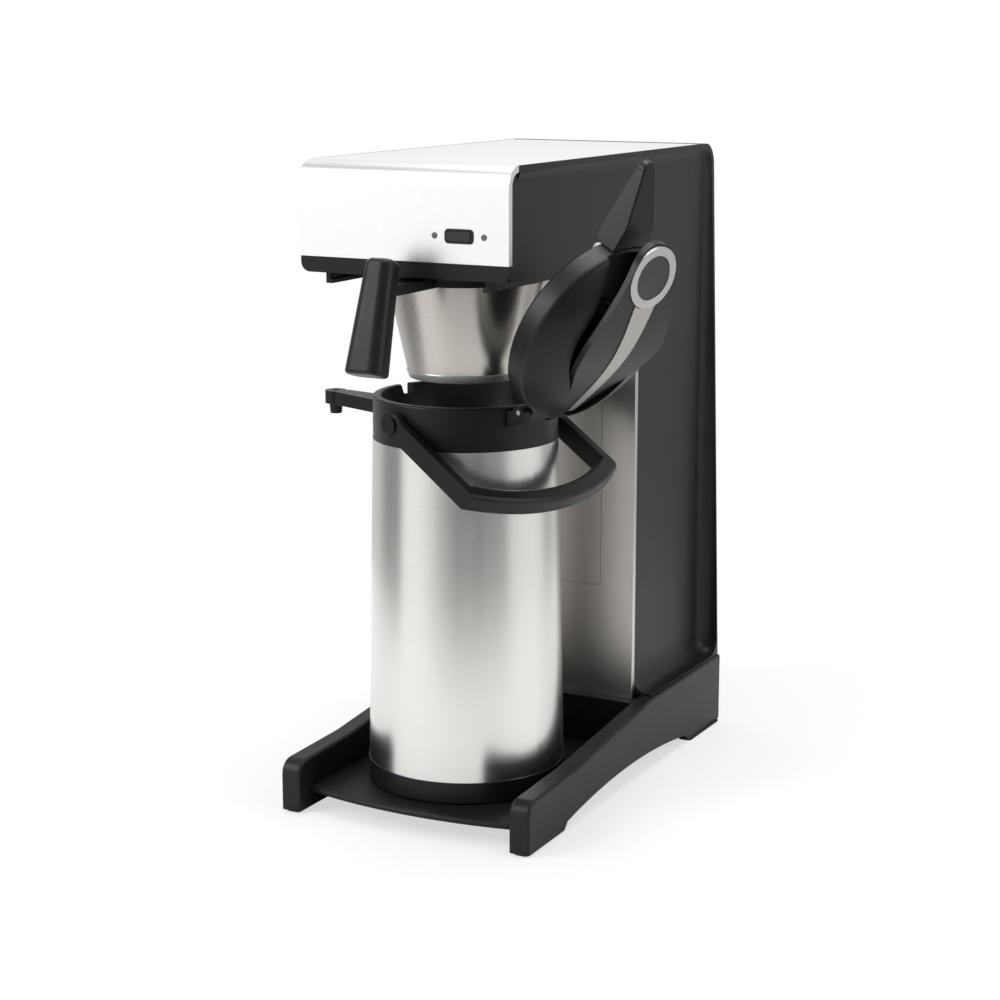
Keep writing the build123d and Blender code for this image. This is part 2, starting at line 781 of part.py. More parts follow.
# Spray head: perforated dish in the head floor with a hollow stem up to the riser tube.
with BuildPart() as spray_head:
    spray_low_z = head_bottom_z
    with BuildSketch(Plane.XY.offset(spray_low_z)):
        with Locations((0, basket_y)):
            Circle(spray_radius)
    extrude(amount=spray_thickness)
    with BuildSketch(Plane.XY.offset(spray_low_z)):
        with Locations((0, basket_y)):
            Circle(spray_stem_radius)
    extrude(amount=shelf_top_z + spray_stem_radius - spray_low_z)
    with BuildSketch(Plane.XY.offset(shelf_z - spray_thickness)):
        with Locations((0, basket_y)):
            Circle(spray_radius)
    extrude(amount=spray_thickness)
    with BuildSketch(Plane.XY.offset(spray_low_z)):
        with Locations((0, basket_y)):
            with PolarLocations(spray_radius * 0.6, spray_hole_count):
                Circle(spray_hole_radius)
    extrude(amount=spray_thickness, mode=Mode.SUBTRACT)
    with BuildSketch(Plane.XY.offset(spray_low_z + spray_thickness)):
        with Locations((0, basket_y)):
            Circle(riser_bore)
    extrude(amount=band_height * 2, mode=Mode.SUBTRACT)
keep(spray_head, "spray_head")

# Filling valve on the chassis back and its threaded inlet in the rear cover.
with BuildPart() as fill_valve:
    with BuildSketch(Plane.XZ.offset(-chassis_rear_y)):
        with Locations((fitting_x, gland_z)):
            RectangleRounded(4 * fitting_radius, 3 * fitting_radius, fitting_radius / 3)
    extrude(amount=-(back_y - rear_wall - 2 * fit_gap - chassis_rear_y) / 2)
keep(fill_valve, "fill_valve")

with BuildPart() as water_inlet:
    with BuildSketch(Plane.XZ.offset(-back_y)):
        with Locations((fitting_x, gland_z)):
            Circle(fitting_radius)
            Circle(fitting_radius * 0.6, mode=Mode.SUBTRACT)
    extrude(amount=(back_y - rear_wall - 2 * fit_gap - chassis_rear_y) / 2 + rear_wall + 2 * fit_gap)
keep(water_inlet, "water_inlet")

# Cable gland in the rear cover, with its flange inside the wall.
with BuildPart() as cable_gland:
    with BuildSketch(Plane.XZ.offset(-back_y)):
        with Locations((gland_x, gland_z)):
            Circle(gland_radius)
    extrude(amount=rear_wall)
    with BuildSketch(Plane.XZ.offset(rear_wall - back_y)):
        with Locations((gland_x, gland_z)):
            Circle(gland_radius + rear_wall)
    extrude(amount=rear_wall)
    with BuildSketch(Plane.XZ.offset(-back_y)):
        with Locations((gland_x, gland_z)):
            Circle(gland_radius / 2)
    extrude(amount=2 * rear_wall, mode=Mode.SUBTRACT)
keep(cable_gland, "cable_gland")

# Front controls: bezel, rocker button, switch body, two lamps, their holders and the board.
with BuildPart() as switch_bezel:
    with BuildSketch(Plane.XZ.offset(head_reach + bezel_proud)):
        with Locations((switch_x, control_z)):
            RectangleRounded(switch_width, switch_height, switch_corner - bezel_border / 2)
    extrude(amount=-(bezel_proud + 2 * sheet))
    with BuildSketch(Plane.XZ.offset(head_reach + bezel_proud)):
        with Locations((switch_x, control_z)):
            RectangleRounded(
                switch_width - 2 * bezel_border, switch_height - 2 * bezel_border, switch_corner / 2
            )
    extrude(amount=-(bezel_proud + 2 * sheet), mode=Mode.SUBTRACT)
keep(switch_bezel, "switch_bezel")

with BuildPart() as switch_button:
    button_width = switch_width - 2 * bezel_border - 2 * slide_gap
    button_height = switch_height - 2 * bezel_border - 2 * slide_gap
    with BuildSketch(Plane.XZ.offset(head_reach + switch_proud)):
        with Locations((switch_x, control_z)):
            RectangleRounded(button_width, button_height, switch_corner / 2)
    extrude(amount=-(switch_proud + 2 * sheet - switch_travel - fit_gap))
    fillet(switch_button.faces().sort_by(Axis.Y)[0].edges(), switch_proud / 4)
keep(switch_button, "switch_button")

with BuildPart() as switch_body:
    with BuildSketch(Plane.XZ.offset(head_reach - 2 * sheet)):
        with Locations((switch_x, control_z)):
            RectangleRounded(
                switch_width + 2 * bezel_border, switch_height + 2 * bezel_border, switch_corner
            )
    extrude(amount=-switch_depth)
keep(switch_body, "switch_body")

lamp_places = ((switch_x - lamp_spacing / 2, control_z), (switch_x + lamp_spacing / 2, control_z))
with BuildPart() as lamp_lenses:
    with BuildSketch(Plane.XZ.offset(head_reach + lamp_proud)):
        with Locations(*lamp_places):
            Circle(lamp_radius)
    extrude(amount=-(lamp_proud + sheet))
    fillet(lamp_lenses.edges().group_by(Axis.Y)[0], lamp_proud * 0.75)
keep(lamp_lenses, "lamp_lenses")

with BuildPart() as lamp_holders:
    with BuildSketch(Plane.XZ.offset(head_reach - sheet)):
        with Locations(*lamp_places):
            Circle(holder_radius)
    extrude(amount=-holder_depth)
keep(lamp_holders, "lamp_holders")

with BuildPart() as control_board:
    with BuildSketch(Plane.XZ.offset(-board_y)):
        with Locations((0, shelf_top_z + board_height / 2)):
            Rectangle(board_width, board_height)
    extrude(amount=-board_thickness)
keep(control_board, "control_board")

# Two runners under the head floor that carry the basket's flange.
with BuildPart() as basket_runners:
    runner_x = flange_radius + slide_gap
    runner_front_y = band_back_y
    runner_back_y = column_face_y - fit_gap
    with BuildSketch(Plane.XZ.offset(-runner_back_y)):
        for side in (-1, 1):
            web_x = side * (runner_x + runner_web / 2)
            with Locations((web_x, head_bottom_z - runner_height / 2)):
                Rectangle(runner_web, runner_height)
            lip_x = side * (runner_x - runner_reach + runner_lip / 2)
            lip_height = runner_height - (head_bottom_z - flange_bottom_z) - fit_gap / 2
            with Locations((lip_x, head_bottom_z - runner_height + lip_height / 2)):
                Rectangle(runner_lip, lip_height)
    extrude(amount=runner_back_y - runner_front_y)
    stop_y = basket_y + flange_radius + slide_gap
    with BuildSketch(Plane.XY.offset(head_bottom_z)):
        with Locations((0, stop_y + runner_web / 2)):
            Rectangle(2 * runner_x, runner_web)
    extrude(amount=-runner_height)
keep(basket_runners, "basket_runners")

# Filter basket: the moulded rim with its flange.
basket_axis = Axis((0, basket_y, 0), (0, 0, 1))
basket_section = Plane((0, basket_y, 0), x_dir=(1, 0, 0), z_dir=(0, -1, 0))
with BuildPart() as basket_rim:
    rim_inside = funnel_top_radius + fit_gap / 2
    with BuildSketch(basket_section):
        with BuildLine():
            Polyline(
                (rim_inside, rim_bottom_z),
                (rim_radius, rim_bottom_z),
                (rim_radius, flange_bottom_z),
                (flange_radius, flange_bottom_z),
                (flange_radius, flange_bottom_z + flange_height),
                (rim_inside - rim_wall, flange_bottom_z + flange_height),
                (rim_inside - rim_wall, flange_bottom_z),
                (rim_inside, flange_bottom_z),
                close=True,
            )
        make_face()
    revolve(axis=basket_axis)
keep(basket_rim, "basket_rim")

# Steel funnel hanging in the rim.
with BuildPart() as basket_funnel:
    with BuildSketch(basket_section):
        with BuildLine():
            Polyline(
                (funnel_top_radius, flange_bottom_z),
                (funnel_top_radius, rim_bottom_z),
                (funnel_low_radius, funnel_low_z),
                (outlet_radius, funnel_low_z),
                (outlet_radius, funnel_low_z + funnel_wall),
                (funnel_low_radius - funnel_wall, funnel_low_z + funnel_wall),
                (funnel_top_radius - funnel_wall, rim_bottom_z),
                (funnel_top_radius - funnel_wall, flange_bottom_z),
                close=True,
            )
        make_face()
    revolve(axis=basket_axis)
keep(basket_funnel, "basket_funnel")

# Bright ring clamped round the funnel's foot.
with BuildPart() as funnel_ring:
    with BuildSketch(basket_section):
        with BuildLine():
            Polyline(
                (outlet_radius, funnel_low_z),
                (ring_radius, funnel_low_z),
                (ring_radius - 2 * funnel_wall, funnel_low_z - ring_height),
                (outlet_radius, funnel_low_z - ring_height),
                close=True,
            )
        make_face()
    revolve(axis=basket_axis)
keep(funnel_ring, "funnel_ring")

# Outlet disc in the ring, with the drip hole in its middle.
with BuildPart() as basket_outlet:
    with BuildSketch(basket_section):
        with BuildLine():
            Polyline(
                (outlet_bore, funnel_low_z + funnel_wall),
                (outlet_radius - fit_gap, funnel_low_z + funnel_wall),
                (outlet_radius - fit_gap, funnel_low_z - ring_height),
                (2 * outlet_bore, funnel_low_z - ring_height),
                (2 * outlet_bore, funnel_low_z - ring_height - outlet_height),
                (outlet_bore, funnel_low_z - ring_height - outlet_height),
                close=True,
            )
        make_face()
    revolve(axis=basket_axis)
keep(basket_outlet, "basket_outlet")

# Perforated screen that holds the paper off the funnel's floor.
with BuildPart() as filter_screen:
    screen_low_z = funnel_low_z + funnel_wall
    with BuildSketch(Plane.XY.offset(screen_z)):
        with Locations((0, basket_y)):
            Circle(screen_radius)
            with PolarLocations(screen_radius * 0.35, 8):
                Circle(3 * spray_hole_radius, mode=Mode.SUBTRACT)
            with PolarLocations(screen_radius * 0.7, 16):
                Circle(3 * spray_hole_radius, mode=Mode.SUBTRACT)
    extrude(amount=screen_thickness)
    with BuildSketch(Plane.XY.offset(screen_low_z)):
        with Locations((0, basket_y)):
            Circle(screen_radius - funnel_wall)
            Circle(screen_radius - 2 * funnel_wall, mode=Mode.SUBTRACT)
    extrude(amount=screen_z - screen_low_z)
keep(filter_screen, "filter_screen")

# Basket handle: an arm under the front band and a slanted grip in front of it.
with BuildPart() as basket_handle:
    grip_top = Vector(0, handle_top_y, head_bottom_z + handle_top_rise)
    grip_low = Vector(0, handle_low_y, head_bottom_z - handle_low_drop)
    grip_dir = (grip_low - grip_top).normalized()
    with BuildSketch(Plane(grip_top, x_dir=(1, 0, 0), z_dir=grip_dir)):
        RectangleRounded(*handle_top_size, min(handle_top_size) * 0.42)
    with BuildSketch(Plane(grip_low, x_dir=(1, 0, 0), z_dir=grip_dir)):
        RectangleRounded(*handle_low_size, min(handle_low_size) * 0.42)
    loft()
    fillet(basket_handle.edges().group_by(Axis.Z)[0], 3.0)
    fillet(basket_handle.edges().group_by(Axis.Z)[-1], 5.0)
    arm_reach_y = (handle_top_y + handle_low_y) / 2 + handle_top_size[1] / 4
    with BuildSketch(Plane.XY.offset(rim_bottom_z + slide_gap)):
        with Locations((0, (arm_reach_y + basket_y) / 2)):
            Rectangle(handle_arm_width, basket_y - arm_reach_y)
        with Locations((0, basket_y)):
            Circle(flange_radius + fit_gap / 2, mode=Mode.SUBTRACT)
    extrude(amount=handle_arm_height)
keep(basket_handle, "basket_handle")

# Jug foot: a moulded cup that the steel shell stands in.
with BuildPart() as jug_base:
    shell_low_z = jug_bottom_z + jug_base_height
    with BuildSketch(jug_section):
        with BuildLine():
            Polyline(
                (0, jug_bottom_z),
                (jug_base_radius, jug_bottom_z),
                (jug_base_radius, shell_low_z),
                (jug_base_radius - jug_base_wall, shell_low_z),
                (jug_base_radius - jug_base_wall, jug_bottom_z + jug_base_wall),
                (0, jug_bottom_z + jug_base_wall),
                close=True,
            )
        make_face()
    revolve(axis=jug_axis)
    fillet(jug_base.edges().group_by(Axis.Z)[0], jug_base_wall / 2)
keep(jug_base, "jug_base")

# Outer steel shell of the jug, standing on the foot's edge and tapering to the collar.
with BuildPart() as jug_shell:
    with BuildSketch(jug_section):
        with BuildLine():
            Polyline(
                (shell_low_radius, shell_low_z),
                (shell_top_radius, shell_top_z),
                (shell_top_radius - shell_wall, shell_top_z),
                (shell_low_radius - shell_wall, shell_low_z),
                close=True,
            )
        make_face()
    revolve(axis=jug_axis)
keep(jug_shell, "jug_shell")

# Steel liner of the jug: a bottle with a neck, hung by its lip from the collar.
with BuildPart() as jug_liner:
    liner_radius = shell_top_radius - liner_gap
    lip_low_z = neck_top_z - liner_wall
    with BuildSketch(jug_section):
        with BuildLine():
            Polyline(
                (0, liner_bottom_z),
                (liner_radius, liner_bottom_z),
                (liner_radius, liner_shoulder_z),
                (neck_radius, shell_top_z - liner_gap),
                (neck_radius, lip_low_z),
                (neck_radius + 3 * liner_wall, lip_low_z),
                (neck_radius + 3 * liner_wall, neck_top_z),
                (neck_radius - liner_wall, neck_top_z),
                (neck_radius - liner_wall, shell_top_z - liner_gap),
                (liner_radius - liner_wall, liner_shoulder_z - liner_wall),
                (liner_radius - liner_wall, liner_bottom_z + liner_wall),
                (0, liner_bottom_z + liner_wall),
                close=True,
            )
        make_face()
    revolve(axis=jug_axis)
keep(jug_liner, "jug_liner")

# Moulded collar: funnel mouth, hinge lugs, spout notch and the two bosses for the bail.
with BuildPart() as jug_collar:
    with BuildSketch(jug_section):
        with BuildLine():
            Polyline(
                (neck_radius + fit_gap, shell_top_z),
                (collar_radius, shell_top_z),
                (collar_radius, collar_top_z),
                (collar_radius - collar_wall, collar_top_z),
                (mouth_radius, lip_low_z),
                (neck_radius + fit_gap, lip_low_z),
                close=True,
            )
        make_face()
    revolve(axis=jug_axis)
    collar_rim = jug_collar.edges().filter_by(GeomType.CIRCLE).group_by(Axis.Z)[-1]
    fillet(collar_rim, collar_wall * 0.3)
    lug_mid = hinge_half_width - hinge_lug_width / 2
    for side in (-1, 1):
        with BuildSketch(jug_section.offset(side * lug_mid - hinge_lug_width / 2)):
            with BuildLine():
                Polyline(
                    (collar_radius - collar_wall / 2, collar_top_z - 3 * hinge_lug_radius),
                    (hinge_r + hinge_lug_radius, hinge_z - hinge_lug_radius),
                    (hinge_r + hinge_lug_radius, hinge_z),
                    (collar_radius - collar_wall / 2, hinge_z),
                    close=True,
                )
            make_face()
            with Locations((hinge_r, hinge_z)):
                Circle(hinge_lug_radius)
        extrude(amount=hinge_lug_width)
    with BuildSketch(jug_section):
        with Locations((hinge_r, hinge_z)):
            Circle(hinge_pin_radius + hinge_pin_gap / 2)
    extrude(amount=2 * hinge_half_width, both=True, mode=Mode.SUBTRACT)
    with BuildSketch(jug_section):
        with Locations((0, bail_pivot_z)):
            Circle(bail_pin_radius)
    extrude(amount=bail_inside + bail_thickness + slide_gap, both=True)
    with BuildSketch(jug_section):
        with Locations((0, bail_pivot_z)):
            Circle(bail_eye_radius)
    extrude(amount=bail_inside - slide_gap, both=True)
    with BuildSketch(jug_floor.offset(lip_low_z)):
        Circle(mouth_radius)
    extrude(amount=collar_top_z - lip_low_z, taper=-22.0, mode=Mode.SUBTRACT)
    with BuildSketch(jug_floor.offset(notch_z)):
        with Locations((-collar_radius, 0)):
            Rectangle(3 * collar_wall, notch_width)
    extrude(amount=collar_top_z - notch_z, mode=Mode.SUBTRACT)
keep(jug_collar, "jug_collar")

# Spout: a trough on the collar's far side with a nozzle at its tip.
with BuildPart() as spout:
    spout_root_r = collar_radius + fit_gap / 2
    with BuildSketch(jug_floor.offset(spout_z)):
        with BuildLine():
            Polyline(
                (-collar_radius + collar_wall / 2, spout_root_width / 2),
                (-spout_reach + spout_tip_width, spout_tip_width / 2),
                (-spout_reach + spout_tip_width, -spout_tip_width / 2),
                (-collar_radius + collar_wall / 2, -spout_root_width / 2),
                close=True,
            )
        make_face()
        with Locations((-spout_reach + spout_tip_width / 2 + 1.0, 0)):
            Circle(spout_tip_width / 2 + 1.0)
        Circle(spout_root_r, mode=Mode.SUBTRACT)
    extrude(amount=spout_height)
    with BuildSketch(jug_floor.offset(spout_z)):
        with Locations((-spout_reach + spout_tip_width / 2 + 1.0, 0)):
            Circle(spout_nozzle_radius)
    extrude(amount=-spout_nozzle_drop, taper=6.0)
    with BuildSketch(jug_floor.offset(spout_z - spout_nozzle_drop)):
        with Locations((-spout_reach + spout_tip_width / 2 + 1.0, 0)):
            Circle(spout_nozzle_radius / 2)
    extrude(amount=spout_nozzle_drop + spout_height, mode=Mode.SUBTRACT)
keep(spout, "spout")

# Dip tube standing in the liner and the clip that holds its head to the neck.
with BuildPart() as dip_tube:
    with BuildSketch(jug_floor.offset(dip_tube_low_z)):
        with Locations((dip_tube_r, 0)):
            Circle(dip_tube_radius)
            Circle(dip_tube_bore, mode=Mode.SUBTRACT)
    extrude(amount=dip_tube_top_z - dip_tube_low_z)
keep(dip_tube, "dip_tube")

with BuildPart() as tube_clip:
    clip_outer_r = -(neck_radius + 3 * liner_wall)
    clip_inner_r = dip_tube_r + dip_tube_radius + clip_thickness
    with BuildSketch(jug_floor.offset(neck_top_z)):
        with Locations(((clip_outer_r + clip_inner_r) / 2, 0)):
            RectangleRounded(clip_inner_r - clip_outer_r, clip_width, clip_thickness)
        with Locations((dip_tube_r, 0)):
            Circle(dip_tube_radius, mode=Mode.SUBTRACT)
    extrude(amount=clip_thickness)
keep(tube_clip, "tube_clip")

# Bail: a flat bow with an eye at each end and a wider grip across its front.
with BuildPart() as bail:
    bail_outside = bail_inside + bail_thickness
    with BuildSketch(bail_plane.offset(-bail_depth / 2)):
        with BuildLine():
            Polyline(
                (bail_arm, -bail_outside),
                (-bail_eye_radius, -bail_outside),
                (-bail_eye_radius, -bail_inside),
                (bail_arm - bail_grip_width, -bail_inside),
            )
            ThreePointArc(
                (bail_arm - bail_grip_width, -bail_inside),
                (bail_arm - bail_grip_width + bail_grip_bow, 0),
                (bail_arm - bail_grip_width, bail_inside),
            )
            Polyline(
                (bail_arm - bail_grip_width, bail_inside),
                (-bail_eye_radius, bail_inside),
                (-bail_eye_radius, bail_outside),
                (bail_arm, bail_outside),
            )
            ThreePointArc(
                (bail_arm, bail_outside), (bail_arm + bail_grip_bow, 0), (bail_arm, -bail_outside)
            )
        make_face()
    extrude(amount=bail_depth)
    eye_edges = bail.edges().filter_by(lambda e: abs((e.center() - bail_point).dot(bail_along)
        + bail_eye_radius) < 0.01 and abs((e.center() - bail_point).dot(bail_up)) > 1.0)
    fillet(eye_edges, bail_depth * 0.45)
    rear_limit = bail_arm - bail_grip_width - 1.0
    grip_edges = bail.edges().filter_by(lambda e: (e.center() - bail_point).dot(bail_along) > rear_limit
        and e.geom_type == GeomType.CIRCLE)
    fillet(grip_edges, bail_grip_width * 0.32)
    with BuildSketch(jug_section):
        with Locations((0, bail_pivot_z)):
            Circle(bail_pin_radius + bail_pin_gap)
    extrude(amount=2 * bail_outside, both=True, mode=Mode.SUBTRACT)
keep(bail, "bail")

# Caps on the ends of the two bail bosses.
with BuildPart() as bail_caps:
    cap_start = bail_inside + bail_thickness + slide_gap
    for side in (-1, 1):
        cap_offset = cap_start if side > 0 else -cap_start - cap_thickness
        with BuildSketch(jug_section.offset(cap_offset)):
            with Locations((0, bail_pivot_z)):
                Circle(cap_radius)
        extrude(amount=cap_thickness)
keep(bail_caps, "bail_caps")

# Hinge pin through the lugs and the lid's knuckle.
with BuildPart() as hinge_pin:
    with BuildSketch(jug_section):
        with Locations((hinge_r, hinge_z)):
            Circle(hinge_pin_radius)
    extrude(amount=hinge_half_width, both=True)
keep(hinge_pin, "hinge_pin")

# Lid, built in its own plane: floor and skirt, with the knuckle on the hinge pin.
with BuildPart() as lid_base:
    with BuildSketch(lid_section):
        with BuildLine():
            Polyline(
                (hinge_r, lid_floor_z),
                (hinge_r + lid_radius - lid_floor, lid_floor_z),
                (hinge_r + lid_radius, lid_floor_z + lid_floor),
                (hinge_r + lid_radius, lid_split_z),
                (hinge_r + lid_radius - lid_wall, lid_split_z),
                (hinge_r + lid_radius - lid_wall, lid_floor_z + lid_floor),
                (hinge_r, lid_floor_z + lid_floor),
                close=True,
            )
        make_face()
    revolve(axis=lid_axis)
    knuckle_half = hinge_half_width - hinge_lug_width - slide_gap
    with BuildSketch(lid_section):
        with Locations((0, 0)):
            Circle(hinge_lug_radius)
        with BuildLine():
            Polyline(
                (-hinge_lug_radius, 0),
                (-hinge_lug_radius, lid_floor_z + lid_floor),
                (hinge_r - lid_radius + lid_wall, lid_floor_z + lid_floor),
                (hinge_r - lid_radius + lid_wall, 0),
                close=True,
            )
        make_face()
    extrude(amount=knuckle_half, both=True)
    with BuildSketch(lid_section):
        Circle(hinge_pin_radius + hinge_pin_gap / 2)
    extrude(amount=2 * knuckle_half, both=True, mode=Mode.SUBTRACT)
    with BuildSketch(lid_plane.offset(lid_floor_z)):
        with Locations((hinge_r, 0)):
            Circle(sleeve_radius + fit_gap)
    extrude(amount=lid_floor, mode=Mode.SUBTRACT)
    ear_radius = lever_pin_radius + 1.4
    with BuildSketch(lid_section):
        with Locations((lever_pivot_s, lever_pivot_o)):
            Circle(ear_radius)
        with Locations((lever_pivot_s, (lever_pivot_o + lid_floor_z + lid_floor) / 2)):
            Rectangle(2 * ear_radius, lever_pivot_o - lid_floor_z - lid_floor)
        with Locations((lever_pivot_s, lever_pivot_o)):
            Circle(lever_pin_radius, mode=Mode.SUBTRACT)
    extrude(amount=lever_pin_half, both=True)
    with BuildSketch(lid_plane.offset(lid_floor_z + lid_floor)):
        with Locations((lever_pivot_s, 0)):
            Rectangle(4 * ear_radius, 2 * (lever_boss_half + slide_gap))
    extrude(amount=lever_pivot_o, mode=Mode.SUBTRACT)
keep(lid_base, "lid_base")

# Lid gasket round the plug, under the floor.
with BuildPart() as lid_gasket:
    with BuildSketch(lid_plane.offset(lid_floor_z)):
        with Locations((hinge_r, 0)):
            Circle(gasket_radius)
            Circle(plug_radius + fit_gap, mode=Mode.SUBTRACT)
    extrude(amount=-gasket_height)
keep(lid_gasket, "lid_gasket")

# Plug: the cup under the floor that closes the jug's mouth and holds the pump.
with BuildPart() as lid_plug:
    plug_low = lid_floor_z - plug_depth
    with BuildSketch(lid_section):
        with BuildLine():
            Polyline(
                (hinge_r, plug_low),
                (hinge_r + plug_end_radius, plug_low),
                (hinge_r + plug_radius, lid_floor_z),
                (hinge_r + plug_radius - plug_wall, lid_floor_z),
                (hinge_r + plug_end_radius - plug_wall, plug_low + plug_wall),
                (hinge_r, plug_low + plug_wall),
                close=True,
            )
        make_face()
    revolve(axis=lid_axis)
keep(lid_plug, "lid_plug")

# Lid cover: the domed top with a well for the pump lever.
with BuildSketch(lid_plane.offset(lid_split_z)) as lever_plan:
    with Locations((lever_rear_s, 0)):
        Circle(lever_rear_radius)
    with Locations((lever_middle_s, 0)):
        Circle(lever_middle_radius)
    with Locations((badge_s, 0)):
        Circle(badge_radius + lever_front_margin)
    make_hull()
with BuildPart() as lid_cover:
    with BuildSketch(lid_section):
        with BuildLine():
            dome_outside = Spline(
                (hinge_r, lid_crown_z),
                (hinge_r + dome_top[0], lid_crown_z - dome_top[1]),
                (hinge_r + dome_flank[0], lid_crown_z - dome_flank[1]),
                (hinge_r + dome_brow[0], lid_split_z + dome_brow[1]),
                (hinge_r + lid_radius, lid_split_z),
                tangents=((1, 0), (0, -1)),
            )
            dome_inside = Spline(
                (hinge_r + lid_radius - lid_wall, lid_split_z),
                (hinge_r + dome_brow[0] - dome_inset[2], lid_split_z + dome_brow[1] - dome_inset[0]),
                (hinge_r + dome_flank[0] - dome_inset[1], lid_crown_z - dome_flank[1] - lid_wall),
                (hinge_r + dome_top[0] - dome_inset[0], lid_crown_z - dome_top[1] - lid_wall),
                (hinge_r, lid_crown_z - lid_wall),
                tangents=((0, 1), (-1, 0)),
            )
            Line(dome_outside @ 1, dome_inside @ 0)
            Line(dome_inside @ 1, dome_outside @ 0)
        make_face()
    revolve(axis=lid_axis)
    with BuildSketch(lid_plane.offset(lid_split_z + fit_gap)):
        add(lever_plan.sketch_local)
        offset(amount=lever_gap)
    extrude(amount=lid_crown_z, mode=Mode.SUBTRACT)
keep(lid_cover, "lid_cover")

# Pump lever: a broad plate hinged at the rear of the lid and bent over the dome.
with BuildPart() as pump_lever:
    with BuildSketch(lid_plane.offset(lid_split_z)):
        add(lever_plan.sketch_local)
    extrude(amount=2 * lid_crown_z)
    with BuildSketch(lid_section):
        with BuildLine():
            lever_curve = Spline(*lever_profile)
            lever_under = Spline(*[(s, o - lever_thickness) for s, o in lever_profile])
            Line(lever_curve @ 0, lever_under @ 0)
            Line(lever_curve @ 1, lever_under @ 1)
        make_face()
    extrude(amount=lid_radius, both=True, mode=Mode.INTERSECT)
    with BuildSketch(lid_section):
        with Locations((lever_pivot_s, lever_pivot_o)):
            Circle(2 * lever_pin_radius)
        with Locations((lever_pivot_s, lever_pivot_o + 1.7 * lever_pin_radius)):
            Rectangle(4 * lever_pin_radius, 3.4 * lever_pin_radius)
    extrude(amount=lever_boss_half, both=True)
    with BuildSketch(lid_section):
        with Locations((lever_pivot_s, lever_pivot_o)):
            Circle(lever_pin_radius + hinge_pin_gap / 2)
    extrude(amount=lid_radius, both=True, mode=Mode.SUBTRACT)
    with BuildSketch(badge_plane):
        Circle(badge_radius + fit_gap / 2)
    extrude(amount=2 * lever_thickness, mode=Mode.SUBTRACT)
keep(pump_lever, "pump_lever")

# Pin that the lever turns on, and the lid's two ears that hold it.
with BuildPart() as lever_pin:
    with BuildSketch(lid_section):
        with Locations((lever_pivot_s, lever_pivot_o)):
            Circle(lever_pin_radius)
    extrude(amount=lever_pin_half, both=True)
keep(lever_pin, "lever_pin")

# Bright strip let into the lever's crest.
with BuildPart() as lever_strip:
    with BuildSketch(lid_plane.offset(lid_split_z)):
        with BuildLine():
            Polyline(
                (lever_profile[0][0] + strip_end_gap, strip_half_width / 3),
                (badge_s - badge_radius * 0.8, strip_half_width),
                (badge_s - badge_radius * 0.8, -strip_half_width),
                (lever_profile[0][0] + strip_end_gap, -strip_half_width / 3),
                close=True,
            )
        make_face()
        with Locations((badge_s, 0)):
            Circle(badge_radius + fit_gap, mode=Mode.SUBTRACT)
    extrude(amount=2 * lid_crown_z)
    with BuildSketch(lid_section):
        with BuildLine():
            strip_under = Spline(*lever_profile)
            strip_over = Spline(*[(s, o + strip_thickness) for s, o in lever_profile])
            Line(strip_under @ 0, strip_over @ 0)
            Line(strip_under @ 1, strip_over @ 1)
        make_face()
    extrude(amount=lid_radius, both=True, mode=Mode.INTERSECT)
keep(lever_strip, "lever_strip")

# Badge ring and the plain disc inside it, in a pocket at the lever's front end.
with BuildPart() as badge_ring:
    with BuildSketch(badge_plane):
        Circle(badge_radius)
        Circle(badge_bore, mode=Mode.SUBTRACT)
    extrude(amount=badge_height + pocket_depth)
    fillet(badge_ring.edges().sort_by(badge_axis)[-2:], badge_height / 2)
keep(badge_ring, "badge_ring")

with BuildPart() as badge_disc:
    with BuildSketch(badge_plane):
        Circle(badge_bore - fit_gap / 2)
    extrude(amount=pocket_depth)
keep(badge_disc, "badge_disc")

# Beak: the tapering hood on the lid's front that covers the spout when the lid is shut.
with BuildPart() as lid_beak:
    with BuildSketch(lid_plane.offset(beak_low_o)):
        with BuildLine():
            Polyline(
                (beak_root_s, beak_root_width / 2),
                (beak_tip_s - beak_tip_width / 2, beak_tip_width / 2),
                (beak_tip_s - beak_tip_width / 2, -beak_tip_width / 2),
                (beak_root_s, -beak_root_width / 2),
                close=True,
            )
        make_face()
        with Locations((beak_tip_s - beak_tip_width / 2, 0)):
            Circle(beak_tip_width / 2)
        with Locations((hinge_r, 0)):
            Circle(lid_radius + fit_gap / 2, mode=Mode.SUBTRACT)
    extrude(amount=beak_top_o - beak_low_o)
    with BuildSketch(lid_section):
        with BuildLine():
            Polyline(
                (beak_root_s, beak_low_o),
                (beak_root_s, beak_top_o),
                (lever_profile[-1][0], beak_top_o),
                (beak_tip_s, beak_tip_o),
                (beak_tip_s, beak_low_o + beak_wall),
                (lever_profile[-1][0], beak_low_o),
                close=True,
            )
        make_face()
    extrude(amount=beak_root_width, both=True, mode=Mode.INTERSECT)
keep(lid_beak, "lid_beak")

# Delivery tube under the beak and the pale coupling that meets the dip tube.
with BuildPart() as delivery_tube:
    with BuildSketch(Plane(hinge_point + lid_along * tube_start_s + lid_out * tube_o,
                           x_dir=pivot_dir, z_dir=lid_along)):
        Circle(tube_radius)
        Circle(tube_radius * 0.6, mode=Mode.SUBTRACT)
    extrude(amount=lever_profile[-1][0] - tube_start_s)
keep(delivery_tube, "delivery_tube")

with BuildPart() as tube_coupling:
    with BuildSketch(lid_plane.offset(tube_o - coupling_drop)):
        with Locations((coupling_s + coupling_length / 2, 0)):
            RectangleRounded(coupling_length, coupling_width, coupling_width / 4)
    extrude(amount=lid_floor_z - gasket_height - tube_o + coupling_drop)
keep(tube_coupling, "tube_coupling")

